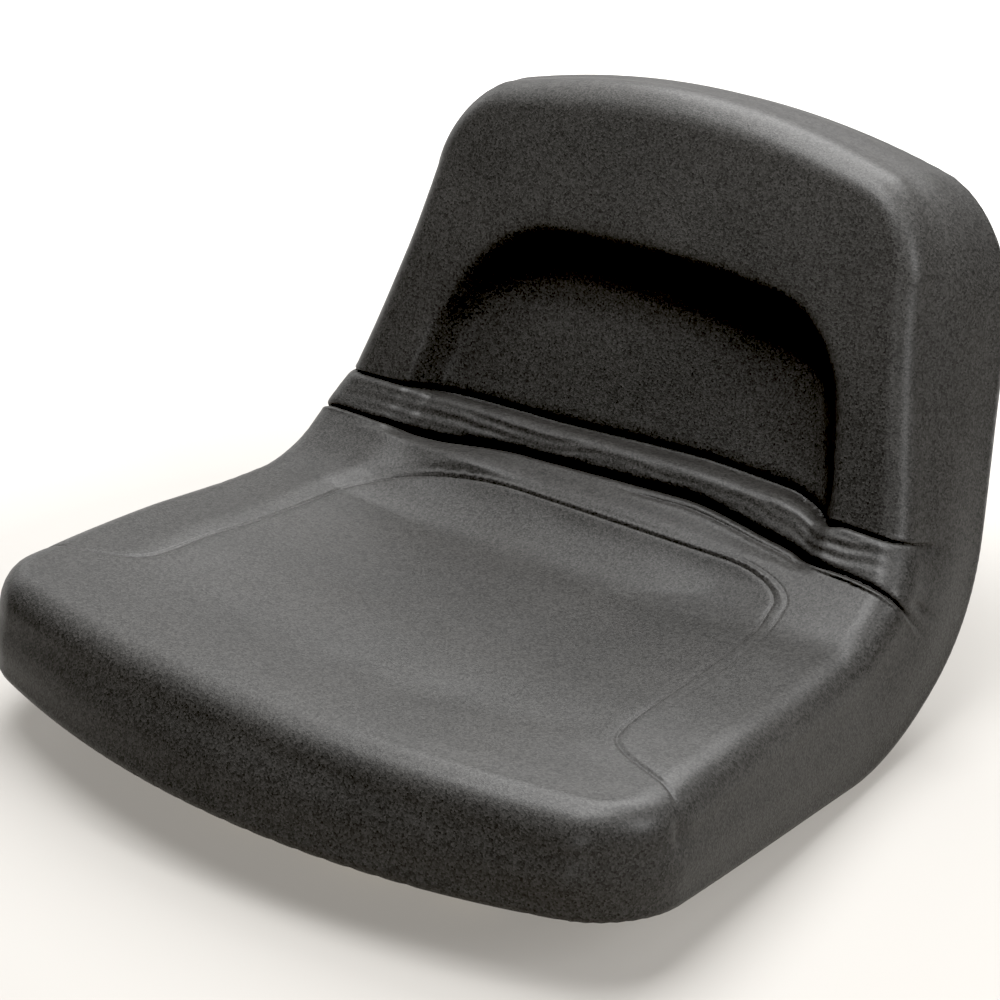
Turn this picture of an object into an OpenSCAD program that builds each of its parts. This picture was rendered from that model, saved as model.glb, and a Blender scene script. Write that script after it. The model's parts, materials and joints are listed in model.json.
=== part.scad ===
// Bucket seat for a garden machine.
// One vacuum formed vinyl cover over one foam moulding, on a pressed steel pan with weld nuts.
// Millimetres. +Z is up, the sitter looks along -Y, and X runs from side to side.
// The origin is the centre of the bolt pattern, on the mounting face under the pan.
//
// Every layer is drawn on one flat plan. a runs across the seat and b runs from its front edge,
// through the waist, to its top edge. The plan is bent along a line, an arc and a line, and a
// height h stands square to that bent plan. h = 0 is the underside of the cover's rolled edge.

/* [Overall form] */
// Width across the front corners
seat_width = 482; // [450:1:510]
// Length of the straight run under the seat
seat_run = 280; // [260:1:300]
// Length of the straight run of the back, above the bend
back_run = 224; // [200:1:250]
// Radius of the bend at the waist
waist_radius = 150; // [135:1:170]
// Slope of the seat down to the rear, in degrees
seat_slope = 7.6; // [5:0.1:9]
// Lean of the back from the horizontal, in degrees
back_angle = 71; // [64:0.5:76]
// Width of the waist as a share of the front
waist_share = 0.957; // [0.93:0.001:0.99]
// Width of the top as a share of the front
top_share = 0.855; // [0.78:0.005:0.92]
// Forward bow of the front edge
front_bow = 48; // [30:1:54]
// Upward bow of the top edge
top_bow = 36; // [18:1:40]
// Lift of the sides of the seat
side_lift = 8; // [0:0.5:14]

/* [Edge heights] */
// Height of the cushion at the front edge
front_height = 63.5; // [56:0.5:70]
// Height of the cushion at the middle of the seat
middle_height = 73; // [70:0.5:80]
// Height of the cushion at the waist
waist_height = 84; // [78:0.5:92]
// Height of the cushion on the back
back_height = 77.5; // [70:0.5:84]

/* [Edges and corners] */
// Radius of the front corners in the plan
front_corner = 40; // [36:1:50]
// Radius of the top corners in the plan
top_corner = 70; // [60:1:85]
// Radius of the roll along the upper edge
edge_roll = 23; // [20:0.5:28]
// Radius of the roll under the lower edge
tuck_roll = 6; // [5:0.5:9]
// Lean of the front wall
front_lean = 14; // [10:0.5:20]
// Lean of the side walls of the seat
side_lean = 3; // [1:0.5:6]
// Lean of the side walls at the waist
waist_lean = 7; // [5:0.5:12]
// Lean of the side walls of the back
back_lean = 33; // [26:0.5:36]
// Lean of the top wall
top_lean = 2; // [1:0.5:8]
// Radius of the crest line at the front corners
front_crest_corner = 15; // [12:1:24]
// Forward turn of the crest line towards the front corners
crest_ease = 14; // [6:0.5:15]
// Radius of the crest line at the top corners
top_crest_corner = 32; // [28:1:44]
// Outward swell of the walls
wall_swell = 2; // [1:0.5:5]

/* [Sitting surface] */
// Depth of the dished seat panel below the side rolls
panel_dip = 6; // [3:0.5:9]
// Distance from the panel's edge over which the dish deepens
panel_reach = 110; // [80:5:140]
// Place in the plan where the dish begins behind the front edge
panel_dip_start = 40; // [34:1:50]
// Half width of the seat panel at its front
panel_half_front = 166; // [158:1:170]
// Half width of the seat panel at its rear
panel_half_rear = 158; // [150:1:164]
// Distance of the seat panel's rear edge in front of the lower fold
panel_gap = 34; // [28:1:42]
// Rear corner radius of the seat panel
panel_corner = 58; // [50:1:66]
// Place where the panel line turns out to the sides
panel_flare = 98; // [90:1:106]
// Sideways run of the panel line for each unit forward, past the turn
flare_run = 1.4; // [1.2:0.05:1.6]
// Roundness of that turn
flare_round = 14; // [10:1:18]
// Width of the groove round the seat panel
groove_width = 8; // [6:0.5:10]
// Depth of the groove round the seat panel
groove_depth = 1.8; // [1:0.1:2.5]

/* [Waist folds] */
// Distance of the lower fold's ends behind the deepest place of the bend
low_fold_set = 25; // [19:1:29]
// Rise of the lower fold towards the middle
low_fold_rise = 28; // [20:1:34]
// Sideways skew of the lower fold
low_fold_skew = 5; // [0:1:8]
// Distance between the two folds' ends
fold_spacing = 63; // [56:1:70]
// Rise of the upper fold towards the middle
high_fold_rise = 5; // [0:1:9]
// Sideways skew of the upper fold
high_fold_skew = 3; // [0:1:5]
// Depth of the folds in the middle
fold_depth = 9; // [6:0.5:11]
// Depth of the folds on the side rolls
side_fold_depth = 4; // [2:0.5:6]
// Reach of each fold to either side
fold_reach = 9; // [7:0.5:12]
// Crown of the roll between the folds
roll_crown = 2.5; // [1:0.5:5]
// Set back of the waist between the side rolls
waist_set_back = 10; // [5:0.5:12]
// Distance from the middle to the inner foot of the side rolls
side_roll_foot = 163; // [158:1:166]
// Half width of the slope up to the side rolls
side_roll_slope = 10; // [7:0.5:13]

/* [Lumbar recess] */
// Half width of the recess at its foot
recess_half_foot = 170; // [160:1:174]
// Half width of the recess at its top
recess_half_top = 157; // [150:1:160]
// Height of the recess above the upper fold's ends
recess_height = 127; // [121:1:133]
// Corner radius of the recess
recess_corner = 52; // [46:1:58]
// Depth of the recess under its upper edge
recess_depth = 27; // [18:0.5:32]
// Depth of the recess at its foot
recess_foot_depth = 9; // [6:0.5:14]
// Length of the slope at the sides of the recess
recess_slope = 26; // [20:1:32]
// Length of the slope under the top of the recess
recess_fall = 42; // [34:1:46]

/* [Cover] */
// Thickness of the vinyl cover
cover_t = 2; // [1.5:0.1:2.5]
// Width of the hem turned under the pan
hem_width = 24; // [20:0.5:26]
// Clearance between neighbouring layers
layer_gap = 0.3; // [0.2:0.05:0.4]

/* [Pan] */
// Thickness of the pressed steel
pan_t = 1.6; // [1.2:0.1:2]
// Distance of the pan's edge from the outer wall
pan_inset = 7; // [6.5:0.25:9]
// Width of the ledge that the hem lies on
ledge_width = 20; // [19:0.5:22]
// Height of the step inside the ledge
ledge_step = 3; // [2:0.25:4]
// Distance of the mounting face below the lowest point of the bend
mount_drop = 4; // [3:0.25:6]
// Half width of the flat mounting face in the plan
mount_half_width = 132; // [124:1:136]
// Front end of the flat mounting face in the plan
mount_front = 72; // [68:1:78]
// Reach of the flat mounting face behind the straight run of the seat
mount_reach = 42; // [32:1:52]
// Plan length of the slope at the front and sides of the mounting face
mount_slope = 30; // [26:1:34]
// Plan length of the slope behind the mounting face
mount_rear_slope = 16; // [12:1:22]
// Depth of the stiffening beads on the back
bead_depth = 4; // [2:0.5:6]
// Half width of a stiffening bead
bead_half = 9; // [7:0.5:11]
// Distance of the outer beads from the middle
bead_pitch = 88; // [80:1:96]
// Distance of the beads' lower ends behind the deepest place of the bend
bead_low = 77; // [67:1:87]
// Distance of the beads' upper ends from the top edge
bead_high = 88; // [80:1:98]

/* [Fixings] */
// Bolt spacing from side to side
bolt_span_x = 203.2; // [196:0.1:208]
// Bolt spacing from front to rear
bolt_span_y = 152.4; // [140:0.1:158]
// Radius of the bolt holes in the pan
bolt_hole_r = 4; // [3.8:0.05:4.5]
// Radius of the thread in the weld nuts
nut_bore_r = 4; // [3.5:0.05:4.1]
// Width across the flats of the weld nuts
nut_flats = 14; // [13:0.5:16]
// Height of the weld nuts
nut_height = 6.6; // [5:0.1:8]
// Room in the foam round a weld nut
nut_room = 2; // [1:0.5:4]
// Radius of the switch hole in the middle of the mounting face
switch_hole_r = 16; // [12:0.5:20]
// Radius of the drain holes
drain_r = 5; // [3:0.5:6]
// Spacing of the drain holes
drain_span = 90; // [80:1:100]

/* [Hidden] */

half = seat_width / 2;
bend_len = waist_radius * (seat_slope + back_angle) * PI / 180;
plan_length = seat_run + bend_len + back_run;
waist_b = seat_run + 0.55 * bend_len;
// Places in the plan
low_fold = waist_b + low_fold_set;
high_fold = low_fold + fold_spacing;
panel_rear = low_fold - panel_gap;
recess_top = high_fold + recess_height;
mount_rear = seat_run + mount_reach;
bead_start = waist_b + bead_low;
bead_end = plan_length - bead_high;
rise_power = 2.2;
waist_bow = -1;
// Share of the seat's run over which the cushion rises behind the front edge
front_rise = 0.6;
// Share of the plan's length by which the back has its full height
back_rise = 0.78;
// Reach in the plan over which the folds and the set back fade out below and above
fold_fade = 70;
set_back_run = 25;
cover_in = cover_t + layer_gap;
pan_low = cover_t + layer_gap;
pan_top = pan_low + pan_t;
// The bolt pattern's centre lies under the middle of the mounting face
centre_y = seat_run * 0.62;
bend_floor = -seat_run * sin(seat_slope) - waist_radius * (1 - cos(seat_slope));
lift_z = mount_drop - bend_floor;

// Smooth step from 0 at x0 to 1 at x1
function ramp(x, x0, x1) =
    let(t = min(1, max(0, (x - x0) / (x1 - x0))))
    t * t * (3 - 2 * t);

// Straight step from 0 at x0 to 1 at x1
function slope(x, x0, x1) = min(1, max(0, (x - x0) / (x1 - x0)));

// Values that change along the plan
function width_share(b) =
    1 + (waist_share - 1) * ramp(b, 0, waist_b) + (top_share - waist_share) * ramp(b, waist_b, plan_length);
function bow(b) =
    front_bow + (waist_bow - front_bow) * ramp(b, 0, waist_b)
    + (-top_bow - waist_bow) * ramp(b, waist_b, plan_length);
function lift(b) = side_lift * (1 - ramp(b, 0, waist_b) / 2 - ramp(b, waist_b, plan_length) / 2);
function crest(b) =
    front_height
    + (middle_height - front_height) * ramp(b, 0, front_rise * seat_run)
    + (waist_height - middle_height) * ramp(b, front_rise * seat_run, waist_b)
    + (back_height - waist_height) * ramp(b, waist_b, back_rise * plan_length);
function side_wall_lean(b) =
    side_lean + (waist_lean - side_lean) * ramp(b, 0, waist_b)
    + (back_lean - waist_lean) * ramp(b, waist_b, plan_length);

// The bent plan: a line, an arc and a line. Each returns [y, z, angle]
function bent(b) =
    let(s = min(b, seat_run))
    let(t = min(max(b - seat_run, 0), bend_len) / waist_radius * 180 / PI)
    let(c = max(b - seat_run - bend_len, 0))
    let(g = t - seat_slope)
    [
        s * cos(seat_slope) + waist_radius * (sin(g) + sin(seat_slope)) + c * cos(back_angle),
        -s * sin(seat_slope) + waist_radius * (cos(seat_slope) - cos(g)) + c * sin(back_angle),
        g
    ];

// Place of a point of the flat plan at height h
function place(a, b, h) =
    let(t = a / half)
    let(p = bent(b + bow(b) * t * t))
    let(hh = h + lift(b) * pow(abs(t), rise_power))
    [a * width_share(b), p[0] - sin(p[2]) * hh - centre_y, p[1] + cos(p[2]) * hh + lift_z];

// Height at which a point of the plan lies on the mounting face
function mount_h(a, b) =
    let(t = a / half)
    let(p = bent(b + bow(b) * t * t))
    -(p[1] + lift_z) / cos(p[2]) - lift(b) * pow(abs(t), rise_power);

// Waist folds. Between the side rolls they rise, and a skew lifts their right half
fold_inner = 60;
fold_turn = 125;
fold_outer = side_roll_foot + 23;
function skew(a) = (2 * slope(a, -fold_inner, fold_inner) - 1) * (1 - ramp(abs(a), fold_turn, side_roll_foot));
function low_fold_b(a) =
    low_fold + low_fold_rise * (1 - ramp(abs(a), fold_inner, fold_outer)) + low_fold_skew * skew(a);
function high_fold_b(a) =
    high_fold + high_fold_rise * (1 - ramp(abs(a), fold_turn, side_roll_foot)) + high_fold_skew * skew(a);
function fold_cut(x) = exp(-abs(x) / (fold_reach * 0.45)) * (1 - ramp(abs(x), fold_reach, fold_reach * 2.2));
// 1 between the side rolls and 0 on them
function between_rolls(a) =
    1 - ramp(abs(a), side_roll_foot - side_roll_slope, side_roll_foot + side_roll_slope);
function fold_depth_at(a) = side_fold_depth + (fold_depth - side_fold_depth) * between_rolls(a);

// Distance inside a panel with straight sides and rounded upper corners
function panel_dist(a, b, w, top, r) =
    let(x = abs(a) - (w - r))
    let(y = b - (top - r))
    r - (x > 0 && y > 0 ? sqrt(x * x + y * y) : max(x, y));

// Straight rise with a foot rounded by c
function hinge(x, c) = (x + sqrt(x * x + c * c)) / 2;
taper_start = seat_run * 0.54;
taper_end = seat_run * 1.18;
function panel_half(b) =
    panel_half_rear + (panel_half_front - panel_half_rear) * (1 - slope(b, taper_start, taper_end))
    + flare_run * hinge(panel_flare - b, flare_round);
// How much the panel line's slant at its flare shortens distances across it
function flare_slant(b) =
    let(x = panel_flare - b)
    let(g = flare_run * (1 + x / sqrt(x * x + flare_round * flare_round)) / 2)
    sqrt(1 + g * g);
function seat_panel(a, b) = panel_dist(a, b, panel_half(b), panel_rear, panel_corner) / flare_slant(b);
// The flare as a place in the plan, for points outside its turn
turn_b = panel_flare + 4;
function flare_b(a) =
    let(y = max(abs(a) - panel_half_front, flare_run * hinge(-4, flare_round)) / flare_run)
    panel_flare - y + flare_round * flare_round / (4 * y);

function recess_half(b) =
    recess_half_foot + (recess_half_top - recess_half_foot) * slope(b, high_fold, recess_top - recess_corner);
function recess_panel(a, b) = panel_dist(a, b, recess_half(b), recess_top, recess_corner);
// Part of the recess's depth: a crisp edge and a rounded foot
function recess_wall(a, b) =
    let(r = recess_panel(a, b))
    let(up = slope(b, recess_top - recess_corner - recess_fall, recess_top - recess_corner / 2))
    let(t = min(1, max(0, r / (recess_slope + (recess_fall - recess_slope) * up))))
    t * (2 - t);

// Depth of everything that is pressed into the sitting surface
function groove_cut(a, b) =
    groove_depth * (1 - slope(abs(seat_panel(a, b)), 0, groove_width / 2))
    * ramp(b, panel_dip_start, panel_dip_start + groove_width);
function dip(a, b) =
    let(s = slope(seat_panel(a, b), 0, panel_reach))
    let(lf = low_fold_b(a))
    let(hf = high_fold_b(a))
    let(mid = (b - lf) / (hf - lf))
    let(fall = slope(b, high_fold, recess_top - recess_fall))
    panel_dip * s * (2 - s) * ramp(b, panel_dip_start, panel_dip_start + fold_fade)
    + groove_cut(a, b)
    + waist_set_back * between_rolls(a)
        * ramp(b, low_fold - set_back_run, lf + 4) * (1 - ramp(b, hf, hf + fold_fade))
    + fold_depth_at(a) * (fold_cut(b - lf) + fold_cut(b - hf))
    - roll_crown * (mid > 0 && mid < 1 ? sin(180 * mid) : 0)
    + (b > hf ? recess_wall(a, b) : 0) * (recess_foot_depth + (recess_depth - recess_foot_depth) * fall);

function top_h(a, b) = crest(b) - dip(a, b);

// Part of the folds and of the groove that is left on the edge roll
function edge_dip(a, b) =
    side_fold_depth * (fold_cut(b - low_fold_b(a)) + fold_cut(b - high_fold_b(a))) + groove_cut(a, b);

// Ends of the crest line in the plan
CREST_0 = front_lean + edge_roll - crest_ease;
CREST_1 = plan_length - top_lean - edge_roll;
crest_edge = half - side_lean - edge_roll;
line_gap = groove_width / 2;
// Places along the crest line where rows of the grid meet it
FLARE_ROW = flare_b(crest_edge);
PANEL_ROW = panel_rear - panel_corner * (1 - sqrt(0.5));
RECESS_ROW = recess_top - recess_corner * (1 - sqrt(0.5));
// Lists of rows and columns for the sheets. fold_edge is the reach of the rows round a fold
fold_edge = 9;
bend_row = seat_run - 5;
flare_gap = line_gap * 1.25;
fold_steps = [-fold_edge, -fold_edge / 2, 0, fold_edge / 2, fold_edge];
recess_steps = [-recess_fall, -recess_slope, -recess_slope * 0.46, 0];
// Rows over the seat, the folds and the back, between the two corner arcs
row_front = [CREST_0 + front_crest_corner];
row_flare = [for (d = [-1, 0, 1]) FLARE_ROW + d * flare_gap];
row_seat = [for (x = [0.33, 0.67, 1]) FLARE_ROW + flare_gap + (bend_row - FLARE_ROW - flare_gap) * x];
row_bend = [for (x = [0.25, 0.5, 0.75]) bend_row + (PANEL_ROW - line_gap - bend_row) * x];
row_panel = [for (d = [-1, 0, 1]) PANEL_ROW + d * line_gap];
row_rear = [(PANEL_ROW + line_gap + low_fold - fold_edge) / 2];
row_low = [for (d = fold_steps) low_fold + d];
row_roll = [for (x = [0.33, 0.67]) low_fold + fold_edge + (fold_spacing - 2 * fold_edge) * x];
row_high = [for (d = fold_steps) high_fold + d];
row_foot = [(high_fold + fold_edge + RECESS_ROW + recess_steps[0]) / 2];
row_recess = [for (d = recess_steps) RECESS_ROW + d];
row_back = [for (x = [0.35, 1]) RECESS_ROW + (CREST_1 - top_crest_corner - RECESS_ROW) * x];
ROWS = concat(
    row_front, row_flare, row_seat, row_bend, row_panel, row_rear,
    row_low, row_roll, row_high, row_foot, row_recess, row_back
);
// The columns at LINE_COLS follow the groove, the side rolls and the recess
INNER_COLS = [0, 0.32, 0.6];
LINE_COLS = [0.75, 0.775, 0.8];
COLS = concat(INNER_COLS, LINE_COLS, [0.91, 1]);

// Rows and columns of the pan, which follow its mounting face and beads
P_ROWS = concat(
    [mount_front - mount_slope, mount_front, mount_front + 3],
    [bend_row, (bend_row + mount_rear - 3) / 2, mount_rear - 3],
    [mount_rear, mount_rear + mount_rear_slope],
    [for (i = [1 : 6]) mount_rear + mount_rear_slope
        + (bead_start - mount_rear - mount_rear_slope) * i / 7],
    [bead_start, bead_start + 12, (bead_start + bead_end) / 2, bead_end - 12, bead_end]
);
P_COLS = [
    0, bead_half * 0.45, bead_half, bead_pitch - bead_half, bead_pitch - bead_half * 0.45,
    bead_pitch + bead_half * 0.45, bead_pitch + bead_half, mount_half_width, mount_half_width + mount_slope, 1
];

// A point on a quarter arc of radius r about c, from the X direction, turned by angle t
function arc_pt(cx, cy, r, t) = [cx + r * cos(t), cy + r * sin(t)];

// Right side of an outline, from the middle of its front corner to the middle of its top corner.
// w is a list with the half width at each row.
function side_pts(w, rows, b0, b1, r0, r1, arcs) =
    let(last = len(rows) - 1)
    concat(
        [for (i = [0 : arcs - 1]) arc_pt(w[0] - r0, b0 + r0, r0, -45 + 45 * i / arcs)],
        [for (i = [0 : last]) [w[i], rows[i]]],
        [for (i = [1 : arcs]) arc_pt(w[last] - r1, b1 - r1, r1, 45 * i / arcs)]
    );

// Front or top edge of an outline, from its left corner to its right one. Its middle lies ease further back
function end_pts(w, b, bc, r, cols, arcs, sign, ease = 0) =
    let(s = w - r)
    let(right = concat(
        [for (c = cols) [c * s, b + ease * (1 - c * c)]],
        [for (i = [1 : arcs]) arc_pt(s, bc, r, sign * (90 - 45 * i / arcs))]
    ))
    let(n = len(right) - 1)
    concat([for (i = [n : -1 : 1]) [-right[i][0], right[i][1]]], right);

// Column at x on an edge of half width w0, moved to a row of half width w. Inside core it stays.
function spread(x, w0, w, core) =
    abs(x) <= core ? x : sign(x) * (core + (abs(x) - core) * (w - core) / (w0 - core));

// A grid of plan points that fills an outline. Only rows near an end follow its corner arcs,
// the more narrowly the higher the power p.
function fill(side, front, top, core, p) =
    let(n = len(side) - 1)
    let(m = len(front) - 1)
    [for (i = [0 : n])
        let(v = (side[i][1] - side[0][1]) / (side[n][1] - side[0][1]))
        [for (j = [0 : m])
            let(x0 = spread(front[j][0], front[m][0], side[i][0], core))
            let(x1 = spread(top[j][0], top[m][0], side[i][0], core))
            [
                (1 - v) * x0 + v * x1,
                side[i][1] + (front[j][1] - front[m][1]) * pow(1 - v, p)
                + (top[j][1] - top[m][1]) * pow(v, p)
            ]
        ]
    ];

// The outline as one closed loop: front, right side, top, left side
function loop(side, front, top) =
    let(n = len(side) - 1)
    let(m = len(front) - 1)
    concat(
        [for (j = [0 : m - 1]) front[j]],
        [for (i = [0 : n - 1]) side[i]],
        [for (j = [m : -1 : 1]) top[j]],
        [for (i = [n : -1 : 1]) [-side[i][0], side[i][1]]]
    );

// Course of a row along the upper edge of a panel, as far as the middle of its corner, then straight on
function corner_row(a, w, top, r) =
    let(x = min(max(abs(a) - w + r, 0), r * sqrt(0.5)))
    top - r + sqrt(r * r - x * x);
// Course of a column along the side of a panel, as far as the middle of its corner, then straight on
function corner_col(b, w, top, r) =
    let(y = min(max(b - top + r, 0), r * sqrt(0.5)))
    w - r + sqrt(r * r - y * y);

// Value at x between knots [x, value], straight from one to the next
function along(knots, x, i = 0) =
    i == len(knots) - 2 || x < knots[i + 1][0]
        ? knots[i][1] + (knots[i + 1][1] - knots[i][1]) * slope(x, knots[i][0], knots[i + 1][0])
        : along(knots, x, i + 1);

// Place of a row that meets the crest line at b. Rows lie in the groove, the folds and the recess's edge
function row_at(a, b) =
    let(flare = flare_b(min(abs(a), crest_edge)))
    along([
        [CREST_0, CREST_0],
        for (d = [-flare_gap, flare_gap]) [FLARE_ROW + d, flare + d],
        for (d = [-line_gap, 0, line_gap])
            [PANEL_ROW + d, corner_row(a, panel_half_rear + d, panel_rear + d, panel_corner + d)],
        for (d = [-fold_edge, fold_edge]) [low_fold + d, low_fold_b(a) + d],
        for (d = [-fold_edge, fold_edge]) [high_fold + d, high_fold_b(a) + d],
        for (d = recess_steps)
            [RECESS_ROW + d, corner_row(a, recess_half_top + d, recess_top + d, max(recess_corner + d, 4))],
        [CREST_1, CREST_1]
    ], b);

// Place at b of line column k, which is -1, 0 or 1. It runs along the groove, the side roll's foot
// and the recess's side, and ends at its own share of the crest line's half width
function line_at(b, k) =
    let(e = k * line_gap)
    let(d = [recess_steps[1], recess_steps[2], 0][k + 1])
    let(foot = high_fold + fold_edge)
    let(roll = side_roll_foot + k * side_roll_slope * 0.8)
    let(groove = corner_col(b, panel_half(max(b, turn_b)) + e, panel_rear + e, panel_corner + e))
    let(side = corner_col(b, recess_half(b) + d, recess_top + d, recess_corner + d))
    let(end = (half - side_wall_lean(b) - edge_roll) * LINE_COLS[k + 1])
    b < foot ? groove + (roll - groove) * slope(b, PANEL_ROW, low_fold - fold_edge)
    : b < RECESS_ROW ? roll + (side - roll) * slope(b, foot, foot + recess_slope)
    : side + (end - side) * slope(b, RECESS_ROW, CREST_1);

// Crest line and rim line of the cushion
crest_w = [for (b = ROWS) half - side_wall_lean(b) - edge_roll];
crest_side = side_pts(crest_w, ROWS, CREST_0, CREST_1, front_crest_corner, top_crest_corner, 3);
crest_front = end_pts(
    crest_w[0], CREST_0, CREST_0 + front_crest_corner, front_crest_corner, COLS, 3, -1, crest_ease
);
crest_top = end_pts(crest_w[len(ROWS) - 1], CREST_1, CREST_1 - top_crest_corner, top_crest_corner, COLS, 3, 1);
crest_loop = loop(crest_side, crest_front, crest_top);
crest_fill = fill(crest_side, crest_front, crest_top, 0, 6);

// Rows of the rim are the crest's rows, stretched to its own straight part
function stretch(b, f0, f1, t0, t1) = t0 + (t1 - t0) * (b - f0) / (f1 - f0);
rim_rows = [for (b = ROWS) stretch(b, ROWS[0], ROWS[len(ROWS) - 1], front_corner, plan_length - top_corner)];
rim_w = [for (b = ROWS) half];
rim_side = side_pts(rim_w, rim_rows, 0, plan_length, front_corner, top_corner, 3);
rim_front = end_pts(half, 0, front_corner, front_corner, COLS, 3, -1);
rim_top = end_pts(half, plan_length, plan_length - top_corner, top_corner, COLS, 3, 1);
rim_loop = loop(rim_side, rim_front, rim_top);

GRID_N = len(crest_side) - 1;
GRID_M = len(crest_front) - 1;
STATIONS = 2 * (GRID_N + GRID_M);
// Row in the waist
TURN = floor(GRID_N / 2);

// Place across of a grid point at x, in a row whose line columns are at xs and whose end is at w
function col_at(x, xs, b, w) =
    sign(x) * along([
        [0, 0],
        for (k = [0 : 2]) [xs[k], line_at(b, k - 1)],
        [w, w]
    ], abs(x));

// Grid point (i, j), moved to the lines of the form. Points on the crest line and near its end arcs stay
first_line = GRID_M / 2 + len(INNER_COLS);
function on_form(i, j) =
    let(x = crest_fill[i][j][0])
    let(y = crest_fill[i][j][1])
    let(w = crest_side[i][0])
    let(xs = [for (k = [0 : 2]) crest_fill[i][first_line + k][0]])
    let(keep = i == 0 || i == GRID_N || j == 0 || j == GRID_M ? 0
        : slope(y, ROWS[0] - 1, ROWS[0] + 6) * (1 - slope(y, ROWS[len(ROWS) - 1] - 12, ROWS[len(ROWS) - 1])))
    let(a1 = x + (col_at(x, xs, row_at(x, y), w) - x) * keep)
    let(a2 = x + (col_at(x, xs, row_at(a1, y), w) - x) * keep)
    [a2, y + (row_at(a2, y) - y) * keep];

// Number of grid point (i, j), and of the grid point at station s of its border
function grid_at(i, j, m) = i * (m + 1) + j;
function border(s, n, m) =
    s < m ? grid_at(0, s, m)
    : s < m + n ? grid_at(s - m, m, m)
    : s < 2 * m + n ? grid_at(n, 2 * m + n - s, m)
    : grid_at(2 * m + 2 * n - s, 0, m);

// Sitting surface of a layer that lies t below the outside
function top_points(t) =
    [for (i = [0 : GRID_N]) for (j = [0 : GRID_M])
        let(q = on_form(i, j))
        place(q[0], q[1], top_h(q[0], q[1]) - t)
    ];

// A point of the wall at station s: d is the inset from the rim and h is the height
function wall_point(s, d, h) =
    let(p = rim_loop[s])
    let(q = crest_loop[s])
    let(f = d / norm(q - p))
    let(x = p + (q - p) * f)
    place(x[0], x[1], h);

// Direction, from the level inward one, in which the common tangent of the edge roll and the tuck faces.
// d is the distance of the crest line from the rim
function wall_turn(d, top) =
    let(v = [d - tuck_roll, top - edge_roll - tuck_roll])
    atan2(v[1], v[0]) + acos((tuck_roll - edge_roll) / norm(v));

// One ring of a wall that lies t inside the outside.
// kind 0 is on the edge roll, 1 on the wall, 2 on the tuck; u runs from 0 to 1, downwards.
// kind 3 is the point of the tuck at height u
function wall_ring(kind, u, t) =
    [for (s = [0 : STATIONS - 1])
        let(q = crest_loop[s])
        let(d = norm(q - rim_loop[s]))
        let(top = crest(q[1]))
        let(turn = wall_turn(d, top))
        let(cut = edge_dip(q[0], q[1]) * (kind == 0 ? 1 - u * 0.6 : kind == 1 ? 0.4 * (1 - u) : 0))
        let(g = kind == 0 ? 90 + (turn - 90) * u
            : kind == 1 ? turn
            : kind == 2 ? turn + (270 - turn) * u
            : 180 + asin((tuck_roll - u) / (tuck_roll - t)))
        let(upper = [d, top - edge_roll] + (edge_roll - t - cut) * [cos(g), sin(g)])
        let(lower = [tuck_roll, tuck_roll] + (tuck_roll - t - cut) * [cos(g), sin(g)])
        let(swell = wall_swell * pow(sin(180 * u), 2) * [cos(g), sin(g)])
        let(p = kind == 0 ? upper : kind == 1 ? upper * (1 - u) + lower * u + swell : lower)
        wall_point(s, p[0], p[1])
    ];

// Faces of a sheet with a grid and k rings round it, from point number o.
// The grid's diagonals run outwards from its middle column and from row number turn
function sheet_faces(n, m, k, o, turn) =
    let(st = 2 * (n + m))
    let(rings = o + (n + 1) * (m + 1))
    concat(
        [for (i = [0 : n - 1]) for (j = [0 : m - 1])
            let(p = o + grid_at(i, j, m))
            each (j < m / 2) == (i < turn)
                ? [[p, p + m + 1, p + m + 2], [p, p + m + 2, p + 1]]
                : [[p, p + m + 1, p + 1], [p + 1, p + m + 1, p + m + 2]]
        ],
        [for (r = [0 : 1 : k - 1]) for (s = [0 : st - 1])
            let(e = (s + 1) % st)
            let(a0 = r == 0 ? o + border(s, n, m) : rings + (r - 1) * st + s)
            let(a1 = r == 0 ? o + border(e, n, m) : rings + (r - 1) * st + e)
            let(b0 = rings + r * st + s)
            let(b1 = rings + r * st + e)
            each [[a0, a1, b0], [b0, a1, b1]]
        ]
    );
function flip(faces) = [for (f = faces) [f[0], f[2], f[1]]];

// Vinyl cover: outside, roll, wall, tuck and hem, and the same again one thickness inside
ROLL_U = [0.25, 0.5, 0.75, 1];
WALL_U = [0.5, 1];
TUCK_U = [0.5, 1];
function hem_ring(h) = [for (s = [0 : STATIONS - 1]) wall_point(s, hem_width, h)];
function wall_rings(t) = concat(
    [for (u = ROLL_U) each wall_ring(0, u, t)],
    [for (u = WALL_U) each wall_ring(1, u, t)],
    [for (u = TUCK_U) each wall_ring(2, u, t)]
);
COVER_K = len(ROLL_U) + len(WALL_U) + len(TUCK_U) + 1;
SHEET = (GRID_N + 1) * (GRID_M + 1) + COVER_K * STATIONS;

module vinyl_cover() {
    outside = concat(top_points(0), wall_rings(0), hem_ring(0));
    inside = concat(top_points(cover_t), wall_rings(cover_t), hem_ring(cover_t));
    last = SHEET - STATIONS;
    edge = [for (s = [0 : STATIONS - 1])
        let(e = (s + 1) % STATIONS)
        each [[last + s, last + e, SHEET + last + s], [SHEET + last + s, last + e, SHEET + last + e]]
    ];
    color([0.10, 0.10, 0.10])
    polyhedron(
        points = concat(outside, inside),
        faces = concat(
            sheet_faces(GRID_N, GRID_M, COVER_K, 0, TURN),
            flip(sheet_faces(GRID_N, GRID_M, COVER_K, SHEET, TURN)),
            edge
        ),
        convexity = 12
    );
}

// Pan plan: the edge, the ledge's inner edge, the foot of the step, then the floor's grid
STEP_RUN = 6;
LEDGE_D = pan_inset + ledge_width;
FLOOR_D = LEDGE_D + STEP_RUN;

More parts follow.
